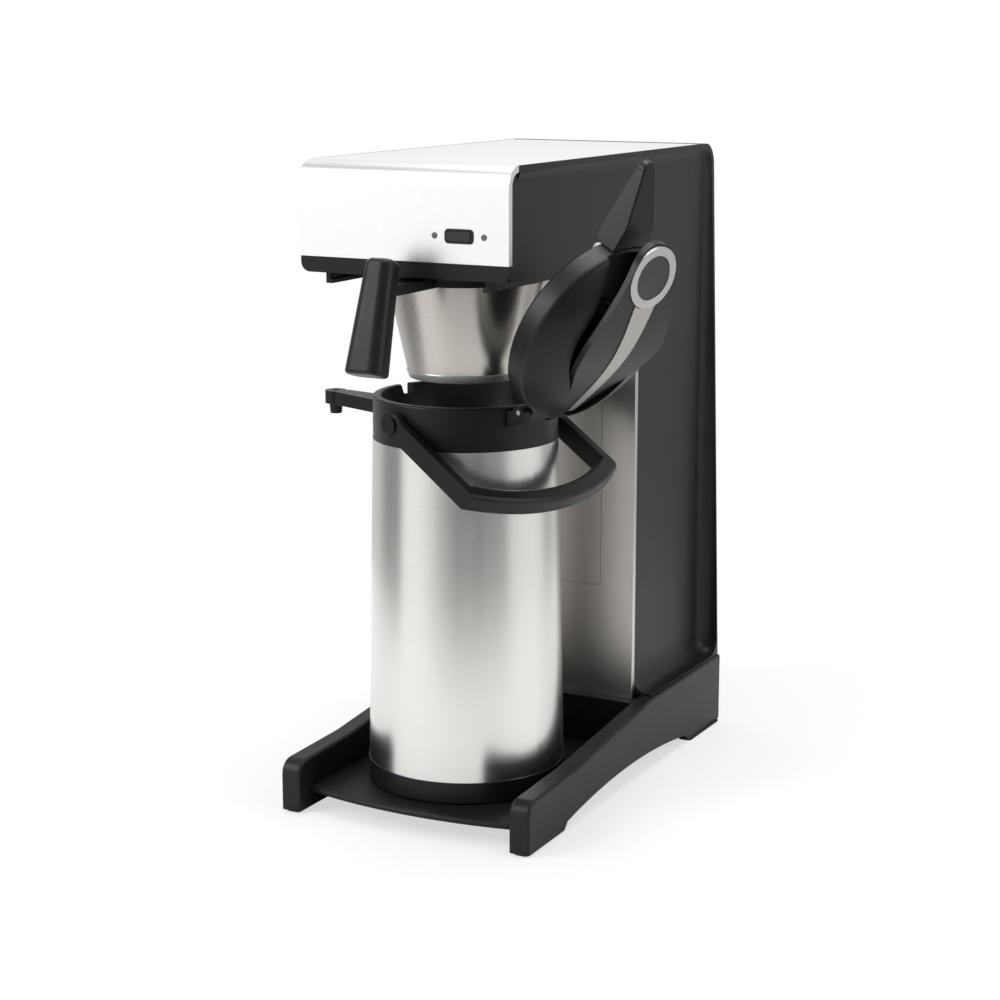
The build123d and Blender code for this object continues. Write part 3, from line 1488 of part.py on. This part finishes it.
# Pump: a sleeve on the plug's floor and the plunger cup that the lever pushes down in it.
with BuildPart() as pump_sleeve:
    sleeve_low = lid_floor_z - plug_depth + plug_wall
    with BuildSketch(lid_plane.offset(sleeve_low)):
        with Locations((hinge_r, 0)):
            Circle(sleeve_radius)
            Circle(plunger_radius + slide_gap, mode=Mode.SUBTRACT)
    extrude(amount=sleeve_top_o - sleeve_low)
keep(pump_sleeve, "pump_sleeve")

with BuildPart() as pump_plunger:
    with BuildSketch(lid_section):
        with BuildLine():
            Polyline(
                (hinge_r, plunger_boss_o),
                (hinge_r + plunger_boss_radius, plunger_boss_o),
                (hinge_r + plunger_boss_radius, plunger_plate_z),
                (hinge_r + plunger_radius, plunger_plate_z),
                (hinge_r + plunger_radius, plunger_plate_z - plunger_skirt),
                (hinge_r + plunger_radius - plunger_wall, plunger_plate_z - plunger_skirt),
                (hinge_r + plunger_radius - plunger_wall, plunger_plate_z - plunger_wall),
                (hinge_r, plunger_plate_z - plunger_wall),
                close=True,
            )
        make_face()
    revolve(axis=lid_axis)
keep(pump_plunger, "pump_plunger")

# Screws in the rear cover, their heads sunk into it.
with BuildPart() as rear_screws:
    with BuildSketch(Plane.XZ.offset(-(back_y - fit_gap))):
        with Locations(*screw_places):
            Circle(screw_head_radius)
    extrude(amount=screw_head_height)
    with BuildSketch(Plane.XZ.offset(-(back_y - fit_gap))):
        with Locations(*screw_places):
            Circle(screw_radius)
    extrude(amount=screw_length)
keep(rear_screws, "rear_screws")

for name, piece in pieces.items():
    export_step(piece, "parts/" + name + ".step")
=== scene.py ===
import json
import math

import bmesh
import bpy
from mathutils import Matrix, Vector

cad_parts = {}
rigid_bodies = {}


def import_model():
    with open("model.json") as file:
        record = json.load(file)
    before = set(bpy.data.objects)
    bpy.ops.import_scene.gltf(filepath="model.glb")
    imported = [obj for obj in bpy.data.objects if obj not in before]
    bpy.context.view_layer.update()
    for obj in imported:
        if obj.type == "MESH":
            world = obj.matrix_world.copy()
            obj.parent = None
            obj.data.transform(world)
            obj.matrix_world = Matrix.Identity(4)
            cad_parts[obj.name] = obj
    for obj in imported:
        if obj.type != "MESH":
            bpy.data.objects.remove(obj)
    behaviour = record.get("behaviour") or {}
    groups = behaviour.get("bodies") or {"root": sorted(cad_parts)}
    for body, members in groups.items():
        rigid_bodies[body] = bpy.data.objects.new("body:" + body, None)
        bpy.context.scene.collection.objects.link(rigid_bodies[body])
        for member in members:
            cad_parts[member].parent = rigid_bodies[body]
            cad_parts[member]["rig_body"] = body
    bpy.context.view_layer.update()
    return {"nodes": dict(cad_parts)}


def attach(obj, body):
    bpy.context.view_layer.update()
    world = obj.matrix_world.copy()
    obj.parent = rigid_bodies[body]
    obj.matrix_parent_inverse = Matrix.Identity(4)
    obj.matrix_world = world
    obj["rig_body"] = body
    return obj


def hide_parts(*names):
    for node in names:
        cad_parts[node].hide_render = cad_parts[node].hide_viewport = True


# A filter coffee brewer with a steel pump jug standing in it, its lid swung open to the right.
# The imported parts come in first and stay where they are. Lengths here are in metres.
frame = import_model()
node = frame["nodes"]
mm = 0.001

# Camera: a long lens from the front right, a little above the brewer's top.
# Its place and aim were fitted to the brewer's edges in the photograph.
camera_place = Vector((0.8700, -1.6694, 0.6488))
camera_aim = Vector((-0.4583, 0.8634, -0.2110))
lens_length = 78.9
sensor_width = 36.0
camera = bpy.data.objects.new("camera", bpy.data.cameras.new("camera"))
bpy.context.scene.collection.objects.link(camera)
camera.data.sensor_width = sensor_width
camera.data.lens = lens_length
camera.location = camera_place
camera.rotation_mode = "QUATERNION"
camera.rotation_quaternion = camera_aim.to_track_quat("-Z", "Y")
bpy.context.scene.camera = camera
bpy.context.scene.view_settings.view_transform = "Standard"


class Wire:
    """One socket of a material's tree. Sums on it add Math nodes, and node() adds any other kind."""

    def __init__(self, tree, socket=None):
        self.tree = tree
        self.socket = socket

    def node(self, kind, sockets=(), out=0, stops=(), **settings):
        made = self.tree.nodes.new("ShaderNode" + kind)
        for name, value in settings.items():
            setattr(made, name, value)
        for n, (place, colour) in enumerate(stops):
            points = made.color_ramp.elements
            if n == 0:
                points.remove(points[1])
            point = points.new(place) if n else points[0]
            point.position = place
            point.color = (*colour, 1.0)
        for name, value in dict(sockets).items():
            if isinstance(value, Wire):
                self.tree.links.new(value.socket, made.inputs[name])
            else:
                made.inputs[name].default_value = value
        return Wire(self.tree, made.outputs[out] if len(made.outputs) else None)

    def maths(self, operation, *values):
        return self.node("Math", enumerate(values), operation=operation)

    def __add__(self, other):
        return self.maths("ADD", self, other)

    def __sub__(self, other):
        return self.maths("SUBTRACT", self, other)

    def __rsub__(self, other):
        return self.maths("SUBTRACT", other, self)

    def __mul__(self, other):
        return self.maths("MULTIPLY", self, other)

    __radd__ = __add__
    __rmul__ = __mul__

    def between(self, low, high):
        """Rises from 0 to 1 as the wire goes from low to high, and stays there."""
        return self.node("MapRange", {"Value": self, "From Min": low, "From Max": high})

    def blend(self, first, second):
        """A colour that goes from the first to the second as the wire goes from 0 to 1."""
        return self.node("Mix", {0: self, 6: first, 7: second}, out=2, data_type="RGBA")


# Room: soft boxes and darker gaps in a ring about the object, which give the steel its bands.
# Each band is its bearing from the camera's, in degrees, and its brightness. The camera sees white.
room_bands = [
    (-180, 0.80), (-130, 0.70), (-112, 0.30), (-93, 0.28), (-90, 0.06), (-87, 0.30), (-80, 1.15),
    (-52, 1.05), (-24, 0.42), (-12, 0.30), (-8, 0.10), (-4, 0.28), (12, 0.26), (16, 0.08),
    (20, 0.28), (48, 0.30), (58, 0.85), (98, 1.00), (116, 0.40), (134, 0.70), (180, 0.80),
]
camera_bearing = math.degrees(math.atan2(-camera_aim.x, camera_aim.y))
room_turn = math.radians(90 - camera_bearing)
full_white = (1, 1, 1, 1)

world = bpy.data.worlds.new("studio")
bpy.context.scene.world = world
world.use_nodes = True
world.node_tree.nodes.clear()
sky = Wire(world.node_tree)
direction = sky.node("TexCoord", out="Generated")
turned = sky.node("Mapping", {"Vector": direction, "Rotation": (0, 0, room_turn)})
spun = sky.node("TexGradient", {"Vector": turned}, gradient_type="RADIAL")
band_stops = [((bearing + 180) / 360, (value, value, value)) for bearing, value in room_bands]
bands = sky.node("ValToRGB", {"Fac": spun}, stops=band_stops)
seen = sky.node("LightPath", out="Is Camera Ray")
room_colour = seen.blend(bands, full_white)
background = sky.node("Background", {"Color": room_colour, "Strength": 1.0})
sky.node("OutputWorld", {"Surface": background})

# Floor: a disc of white paper, which keeps the object's shadow and fades out towards its rim.
# To the camera it is part paper and part plain white, so that it meets the background.
floor_radius = 0.85
floor_sides = 96
fade_start = 0.42
fade_end = floor_radius * 0.97
paper_colour = (0.9, 0.9, 0.9, 1)
least_white = 0.62

bpy.ops.mesh.primitive_circle_add(vertices=floor_sides, radius=floor_radius, fill_type="NGON")
sweep = bpy.context.object
sweep.name = "sweep"
paper = bpy.data.materials.new("white_paper")
paper.use_nodes = True
paper.node_tree.nodes.clear()
sheet = Wire(paper.node_tree)
spot = sheet.node("TexCoord", out="Object")
reach = sheet.node("VectorMath", {0: spot}, out="Value", operation="LENGTH")
fade = reach.between(fade_start, fade_end)
lit = sheet.node("BsdfDiffuse", {"Color": paper_colour})
white = sheet.node("Emission", {"Color": full_white, "Strength": 1.0})
rays = sheet.node("LightPath", out="Is Camera Ray")
shown = sheet.maths("MAXIMUM", fade, least_white)
surface = sheet.node("MixShader", {0: rays * shown, 1: lit, 2: white})
sheet.node("OutputMaterial", {"Surface": surface})
sweep.data.materials.append(paper)

# Lamps: three round soft boxes, the brightest two in front to the left and straight overhead.
# Each has its place, its width in metres and its power in watts, and points at the brewer's middle.
lamp_aim = Vector((0, -0.05, 0.28))
for name, place, size, power in (
    ("key_box", (-1.3, -1.5, 1.5), 1.0, 22.0),
    ("side_box", (1.9, 0.1, 1.1), 0.8, 7.0),
    ("top_box", (0.1, 0.1, 1.9), 1.2, 20.0),
):
    lamp = bpy.data.objects.new(name, bpy.data.lights.new(name, "AREA"))
    bpy.context.scene.collection.objects.link(lamp)
    lamp.data.shape = "DISK"
    lamp.data.size = size
    lamp.data.energy = power
    lamp.location = place
    lamp.rotation_euler = (lamp_aim - lamp.location).to_track_quat("-Z", "Y").to_euler()


# Base frame: one black plastic moulding of two side rails, a floor pan and a plinth, with a fine
# spark texture from its mould. Its edges are rounded, as the mould leaves them.
soot = (0.008, 0.008, 0.0085)
cloud_size = 30 * mm
cloud_dark = 0.8
cloud_pale = 1.25
cloud_shine = 0.05
spark_depth = 0.04 * mm
spark_shine = 0.04
plastic_specular = 0.26
merge_reach = 0.001 * mm
flat_angle = math.radians(0.5)
ease_segments = 3


class Finish:
    """A material with its own tree. `at` is the piece's own coordinates in metres."""

    def __init__(self, name):
        self.material = bpy.data.materials.new(name)
        self.material.use_nodes = True
        self.material.node_tree.nodes.clear()
        self.start = Wire(self.material.node_tree)
        self.at = self.start.node("TexCoord", out="Object")

    def grain(self, size, detail=2.0, stretch=(1, 1, 1)):
        """Noise with grains of about this size. A stretch under 1 draws them out along that axis."""
        place = self.start.node("Mapping", {"Vector": self.at, "Scale": stretch})
        return self.start.node("TexNoise", {"Vector": place, "Scale": 1 / size, "Detail": detail})

    def close(self, height, depth, **sockets):
        """The finished material: a bump of this height and depth, and the shader's other sockets."""
        bump = {"Height": height, "Strength": 1.0, "Distance": depth}
        sockets["Normal"] = self.start.node("Bump", bump)
        named = {key.replace("_", " "): value for key, value in sockets.items()}
        self.start.node("OutputMaterial", {"Surface": self.start.node("BsdfPrincipled", named)})
        return self.material


def moulded_black(name, colour, gloss, spark):
    """Black plastic: spark texture in the bump, faint clouding in its colour and shine."""
    finish = Finish(name)
    cloud = finish.grain(cloud_size, detail=4.0).between(0.3, 0.7)
    fine = finish.grain(spark)
    dark = (*[c * cloud_dark for c in colour], 1)
    pale = (*[c * cloud_pale for c in colour], 1)
    shine = gloss + cloud * cloud_shine + fine.between(0.35, 0.65) * spark_shine
    return finish.close(
        fine, spark_depth, Base_Color=cloud.blend(dark, pale), Roughness=shine,
        Specular_IOR_Level=plastic_specular,
    )


def eased(name, width, material, sharp=32, flats=True):
    """A copy of a part with its sharp edges rounded over, which stands in for the plain one."""
    mesh = node[name].data.copy()
    work = bmesh.new()
    work.from_mesh(mesh)
    bmesh.ops.remove_doubles(work, verts=work.verts, dist=merge_reach)
    if flats:
        bmesh.ops.dissolve_limit(work, angle_limit=flat_angle, verts=work.verts, edges=work.edges)
    work.to_mesh(mesh)
    work.free()
    mesh.materials.clear()
    mesh.materials.append(material)
    mesh.shade_smooth()
    piece = bpy.data.objects.new(name + "_moulding", mesh)
    bpy.context.scene.collection.objects.link(piece)
    ease = piece.modifiers.new("ease", "BEVEL")
    ease.width = width
    ease.segments = ease_segments
    ease.limit_method = "ANGLE"
    ease.angle_limit = math.radians(sharp)
    ease.harden_normals = True
    weigh = piece.modifiers.new("weigh", "WEIGHTED_NORMAL")
    weigh.keep_sharp = True
    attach(piece, node[name]["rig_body"])
    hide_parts(name)


base_black = moulded_black("base_black", soot, gloss=0.38, spark=0.6 * mm)
eased("base_frame", 1.2 * mm, base_black)


# Foot pads: four pads of dull black rubber, pressed into the ends of the rails.
# The brewer stands on them.
def dress(material, *names):
    """Give kept parts a material."""
    for name in names:
        for n in range(len(node[name].data.materials)):
            node[name].data.materials[n] = material
        if not node[name].data.materials:
            node[name].data.materials.append(material)


rubber_colour = (0.012, 0.012, 0.012, 1)
pad_rubber = Finish("pad_rubber")
pad_grain = pad_rubber.grain(0.8 * mm)
dress(pad_rubber.close(pad_grain, 0.1 * mm, Base_Color=rubber_colour, Roughness=0.8), "foot_pads")

# Tray plate: a thin black plate on the floor pan, a little duller than the rails.
# The jug stands on it.
tray_black = moulded_black("tray_black", (0.007, 0.007, 0.0075), gloss=0.42, spark=0.5 * mm)
eased("tray_plate", 0.8 * mm, tray_black)

# Head cover: one stainless sheet, bent over from the top to the front, with its side edges turned
# in. It is brushed up and down, and its cut edges are only just broken.
mark_squeeze = 0.012
mark_share = 0.6
mark_shine = 0.08
streak_squeeze = 0.05
streak_share = 0.4
lines_in_streak = 9
haze_size = 50 * mm
haze_shine = 0.03


def brushed(name, colour, shine, along, line=0.2 * mm, depth=0.003 * mm, spread=0.05):
    """Brushed steel. `along` is the axis that the brush marks follow: 0, 1 or 2."""
    finish = Finish(name)
    stretch = [1.0, 1.0, 1.0]
    stretch[along] = mark_squeeze
    marks = finish.grain(line, 3.0, stretch)
    stretch[along] = streak_squeeze
    streak = finish.grain(line * lines_in_streak, 2.0, stretch)
    haze = finish.grain(haze_size, 3.0)
    dark = (*[c * (1 - spread) for c in colour], 1)
    pale = (*[min(c * (1 + spread * 0.5), 1.0) for c in colour], 1)
    tone = (marks * mark_share + streak * streak_share).between(0.3, 0.7).blend(dark, pale)
    rough = shine + (marks - 0.5) * mark_shine + (haze - 0.5) * haze_shine
    return finish.close(marks, depth, Base_Color=tone, Roughness=rough, Metallic=1.0)


front_steel = brushed("front_steel", (0.90, 0.895, 0.885), shine=0.34, along=2, spread=0.03)
eased("head_cover", 0.5 * mm, front_steel)

# Column front: the stainless sheet that stands behind the jug, brushed upright and finer than the
# head. The access panel let into it is of the same sheet.
column_colour = (0.60, 0.585, 0.565)
column_steel = brushed("column_steel", column_colour, shine=0.30, along=2, line=0.1 * mm, spread=0.02)
eased("column_front", 0.4 * mm, column_steel)
dress(column_steel, "access_panel")

# Chassis: the bent steel frame inside the housing, which carries its walls and the tank.
# It isn't seen, and its steel is duller than the column's.
inner_steel = brushed("inner_steel", (0.55, 0.55, 0.55), shine=0.4, along=2)
dress(inner_steel, "chassis")

# Side walls: black mouldings behind the head's folded edges, coved out to a rim at the top, back
# and foot.
side_black = moulded_black("side_black", soot, gloss=0.36, spark=0.5 * mm)
eased("side_panel_right", 0.9 * mm, side_black)
eased("side_panel_left", 0.9 * mm, side_black)

# Rear cover: a black moulded back between the side walls, turned over onto the top.
# It is a little duller than the walls.
cover_black = moulded_black("cover_black", soot, gloss=0.38, spark=0.6 * mm)
eased("rear_cover", 0.9 * mm, cover_black)

# Head floor: the black moulding that closes the head from below and shows as a band at its front.
# The two runners that the filter basket slides on are of the same plastic.
eased("head_floor", 1.0 * mm, cover_black)
dress(cover_black, "basket_runners")

# Rear screws: six steel screws with domed heads and a cross recess, sunk into the rear cover.
# One is turned from a profile, and Geometry Nodes stands a copy at each place, each with its own turn.
screw_row_x = 60.0 * mm
screw_heights = (140.0 * mm, 330.0 * mm, 520.0 * mm)
screw_face_y = 202.8 * mm
screw_turns = (0.3, 1.1, 0.7, 1.9, 0.1, 1.4)
head_radius = 3.2 * mm
head_depth = 1.5 * mm
shank_radius = 1.5 * mm
shank_end = 9.0 * mm
screw_profile = (
    (0.0, 0.0), (1.6 * mm, 0.0), (2.5 * mm, -0.15 * mm), (3.0 * mm, -0.6 * mm),
    (head_radius, -head_depth), (shank_radius, -head_depth), (shank_radius, -shank_end), (0.0, -shank_end),
)
lathe_steps = 32
recess_reach = 1.5 * mm
recess_half = 0.32 * mm
recess_depth = 0.9 * mm


def settled(piece):
    """The plain mesh that a piece's modifiers come to."""
    bpy.context.view_layer.update()
    return bpy.data.meshes.new_from_object(piece.evaluated_get(bpy.context.evaluated_depsgraph_get()))


screw_mesh = bpy.data.meshes.new("screw_shape")
work = bmesh.new()
corners = [work.verts.new((radius, depth, 0)) for radius, depth in screw_profile]
edges = [work.edges.new(pair) for pair in zip(corners, corners[1:])]
bmesh.ops.spin(
    work, geom=corners + edges, cent=(0, 0, 0), axis=(0, 1, 0), angle=math.tau,
    steps=lathe_steps, use_merge=True,
)
bmesh.ops.remove_doubles(work, verts=work.verts, dist=merge_reach)
bmesh.ops.recalc_face_normals(work, faces=work.faces)
work.to_mesh(screw_mesh)
work.free()
screw_mesh.shade_smooth()
screw_shape = bpy.data.objects.new("screw_shape", screw_mesh)
bpy.context.scene.collection.objects.link(screw_shape)
for n, (wide, high) in enumerate(((recess_reach, recess_half), (recess_half, recess_reach))):
    cutter_mesh = bpy.data.meshes.new("recess_%d" % n)
    work = bmesh.new()
    bmesh.ops.create_cube(work, size=2.0)
    bmesh.ops.scale(work, vec=(wide, recess_depth, high), verts=work.verts)
    work.to_mesh(cutter_mesh)
    work.free()
    cutter = bpy.data.objects.new("recess_%d" % n, cutter_mesh)
    bpy.context.scene.collection.objects.link(cutter)
    cut = screw_shape.modifiers.new("cut", "BOOLEAN")
    cut.operation = "DIFFERENCE"
    cut.object = cutter
    cut_mesh = settled(screw_shape)
    screw_shape.modifiers.clear()
    screw_shape.data = cut_mesh
    bpy.data.objects.remove(cutter)

tree = bpy.data.node_groups.new("stand_screws", "GeometryNodeTree")
tree.interface.new_socket("Places", in_out="INPUT", socket_type="NodeSocketGeometry")
tree.interface.new_socket("Screw", in_out="INPUT", socket_type="NodeSocketObject")
tree.interface.new_socket("Steel", in_out="INPUT", socket_type="NodeSocketMaterial")
tree.interface.new_socket("Screws", in_out="OUTPUT", socket_type="NodeSocketGeometry")
given = tree.nodes.new("NodeGroupInput")
taken = tree.nodes.new("NodeGroupOutput")
shape = tree.nodes.new("GeometryNodeObjectInfo")
turn = tree.nodes.new("GeometryNodeInputNamedAttribute")
spin = tree.nodes.new("ShaderNodeCombineXYZ")
stand = tree.nodes.new("GeometryNodeInstanceOnPoints")
real = tree.nodes.new("GeometryNodeRealizeInstances")
paint = tree.nodes.new("GeometryNodeSetMaterial")
turn.inputs["Name"].default_value = "turn"
for source, target in (
    (given.outputs["Screw"], shape.inputs["Object"]),
    (given.outputs["Places"], stand.inputs["Points"]),
    (shape.outputs["Geometry"], stand.inputs["Instance"]),
    (turn.outputs["Attribute"], spin.inputs["Y"]),
    (spin.outputs["Vector"], stand.inputs["Rotation"]),
    (stand.outputs["Instances"], real.inputs["Geometry"]),
    (real.outputs["Geometry"], paint.inputs["Geometry"]),
    (given.outputs["Steel"], paint.inputs["Material"]),
    (paint.outputs["Geometry"], taken.inputs["Screws"]),
):
    tree.links.new(source, target)

screw_places = [(x, screw_face_y, z) for x in (-screw_row_x, screw_row_x) for z in screw_heights]
place_mesh = bpy.data.meshes.new("screw_places")
place_mesh.from_pydata(screw_places, [], [])
turns = place_mesh.attributes.new("turn", "FLOAT", "POINT")
for n, angle in enumerate(screw_turns):
    turns.data[n].value = angle
screws = bpy.data.objects.new("screws_set", place_mesh)
bpy.context.scene.collection.objects.link(screws)
socket_of = {row.name: row.identifier for row in tree.interface.items_tree}
stood = screws.modifiers.new("stand", "NODES")
stood.node_group = tree
stood[socket_of["Screw"]] = screw_shape
stood[socket_of["Steel"]] = brushed("screw_steel", (0.62, 0.62, 0.61), shine=0.3, along=0)
stood_mesh = settled(screws)
screws.modifiers.clear()
screws.data = stood_mesh
bpy.data.objects.remove(screw_shape)
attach(screws, node["rear_screws"]["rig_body"])
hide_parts("rear_screws")

# Water tank: a moulded tank and its lid in milky plastic, inside the housing.
# The spray head over the filter basket is of the same plastic.
tank_plastic = Finish("tank_plastic")
tank_grain = tank_plastic.grain(2 * mm)
milky = tank_plastic.close(tank_grain, 0.05 * mm, Base_Color=(0.7, 0.7, 0.68, 1), Roughness=0.45)
dress(milky, "water_tank", "tank_lid", "spray_head")

# Water inlet and filling valve: turned brass. The valve is inside, and the inlet's thread comes out
# through the rear cover.
fitting_brass = brushed("fitting_brass", (0.72, 0.56, 0.28), shine=0.3, along=1)
dress(fitting_brass, "water_inlet", "fill_valve")

# Heater: a steel heating element and the riser that takes the hot water up, inside the housing.
# The thermostat beside it and the cable gland in the rear cover are black mouldings.
dress(brushed("heater_steel", (0.5, 0.5, 0.5), shine=0.35, along=2), "heater_element", "riser_tube")
dress(moulded_black("thermostat_black", (0.03, 0.03, 0.03), gloss=0.3, spark=1 * mm), "thermostat")
dress(moulded_black("gland_black", (0.02, 0.02, 0.02), gloss=0.45, spark=0.8 * mm), "cable_gland")

# Switch: a grey rocker in a black bezel, snapped into the front of the head, with its body behind.
# Its plastic is smoother than the housing's.
switch_black = moulded_black("switch_black", (0.02, 0.021, 0.023), gloss=0.30, spark=0.4 * mm)
rocker_grey = moulded_black("rocker_grey", (0.035, 0.037, 0.04), gloss=0.28, spark=0.4 * mm)
dress(switch_black, "switch_bezel", "switch_body")
dress(rocker_grey, "switch_button")

# Signal lamps: two small smoky lenses beside the switch, each in a black holder behind the sheet.
# The lenses are nearly smooth.
lens = Finish("lamp_lens")
lens_grain = lens.grain(0.6 * mm)
smoky = lens.close(lens_grain, 0.02 * mm, Base_Color=(0.12, 0.12, 0.125, 1), Roughness=0.18)
dress(smoky, "lamp_lenses")
dress(moulded_black("holder_black", (0.02, 0.02, 0.02), gloss=0.5, spark=1 * mm), "lamp_holders")

# Control board: a green laminate board inside the head, which the switch and the lamps lead to.
# It isn't seen.
board = Finish("board_green")
board_grain = board.grain(4 * mm)
laminate = board.close(board_grain, 0.05 * mm, Base_Color=(0.02, 0.12, 0.04, 1), Roughness=0.4)
dress(laminate, "control_board")

# Filter basket: a spun steel funnel and its screen, with level brush marks, and a steel ring at its
# foot whose near-white colour is a painted highlight. Its rim, its outlet and the upright grip in front
# are black mouldings.
funnel_colour = (0.50, 0.475, 0.44)
funnel_steel = brushed("funnel_steel", funnel_colour, shine=0.26, along=0, line=0.3 * mm)
# The ring is real steel, but its near-white colour, far paler than the funnel's, is a painted highlight
# along the funnel's foot.
ring_painted_highlight_steel = brushed("ring_painted_highlight_steel", (0.90, 0.89, 0.88), shine=0.42, along=0)
basket_black = moulded_black("basket_black", (0.008, 0.008, 0.008), gloss=0.36, spark=0.5 * mm)
dress(funnel_steel, "basket_funnel", "filter_screen")
dress(ring_painted_highlight_steel, "funnel_ring")
eased("basket_rim", 0.6 * mm, basket_black)
eased("basket_handle", 1.6 * mm, basket_black)
dress(basket_black, "basket_outlet")

# Jug shell: a stainless tube with level brush marks, over a steel liner.
# The liner is what holds the coffee.
jug_steel = brushed("jug_steel", (0.72, 0.705, 0.68), shine=0.26, along=0)
liner_steel = brushed("liner_steel", (0.70, 0.69, 0.67), shine=0.2, along=0)
dress(jug_steel, "jug_shell")
dress(liner_steel, "jug_liner")

# Jug mouldings: the base ring, the collar, the spout, the bail handle and the caps on its pivots,
# all in one black plastic. The bail has the roundest edges, because the hand closes on it.
jug_black = moulded_black("jug_black", soot, gloss=0.34, spark=0.5 * mm)
jug_eases = (("jug_base", 1.2), ("jug_collar", 1.0), ("spout", 1.0), ("bail", 1.8), ("bail_caps", 0.5))
for name, width in jug_eases:
    eased(name, width * mm, jug_black)

# Dip tube and pins: plain steel. The tube hangs in the liner in a black clip, and the pins carry
# the lid and the pump's lever.
dress(jug_black, "tube_clip")
dress(inner_steel, "dip_tube", "hinge_pin", "lever_pin")

# Lid: a domed black cover on a flat base, with a beak at its far end.
# The plug and the pump's sleeve and cup under it are of the same plastic.
lid_black = moulded_black("lid_black", soot, gloss=0.33, spark=0.5 * mm)
for name, width in (("lid_base", 0.8), ("lid_cover", 0.8), ("lid_beak", 1.6)):
    eased(name, width * mm, lid_black)
dress(lid_black, "lid_plug", "pump_sleeve", "pump_plunger")

# Pump lever: a long black moulding let into the lid's dome, curved all over, so that its flats
# aren't joined and only its true edges are rounded.
lever_sharp = 50
eased("pump_lever", 0.6 * mm, lid_black, sharp=lever_sharp, flats=False)

# Gasket and delivery tube: pale, dull rubber. The gasket seals the lid on the jug's neck, and the
# tube's coupling meets the dip tube when the lid is shut.
rubber_grey = (0.55, 0.54, 0.50, 1)
pale_rubber = Finish("pale_rubber")
rubber_grain = pale_rubber.grain(1.2 * mm)
pale = pale_rubber.close(rubber_grain, 0.04 * mm, Base_Color=rubber_grey, Roughness=0.6)
dress(pale, "lid_gasket", "tube_coupling", "delivery_tube")

# Lever strip and badge: a steel strip laid along the lever, and a steel ring round a dark grey disc
# at its end. Both are left plain.
dress(brushed("strip_steel", (0.36, 0.345, 0.32), shine=0.34, along=1), "lever_strip")
dress(brushed("badge_steel", (0.50, 0.49, 0.48), shine=0.36, along=1), "badge_ring")
dress(moulded_black("badge_grey", (0.05, 0.05, 0.052), gloss=0.35, spark=0.6 * mm), "badge_disc")
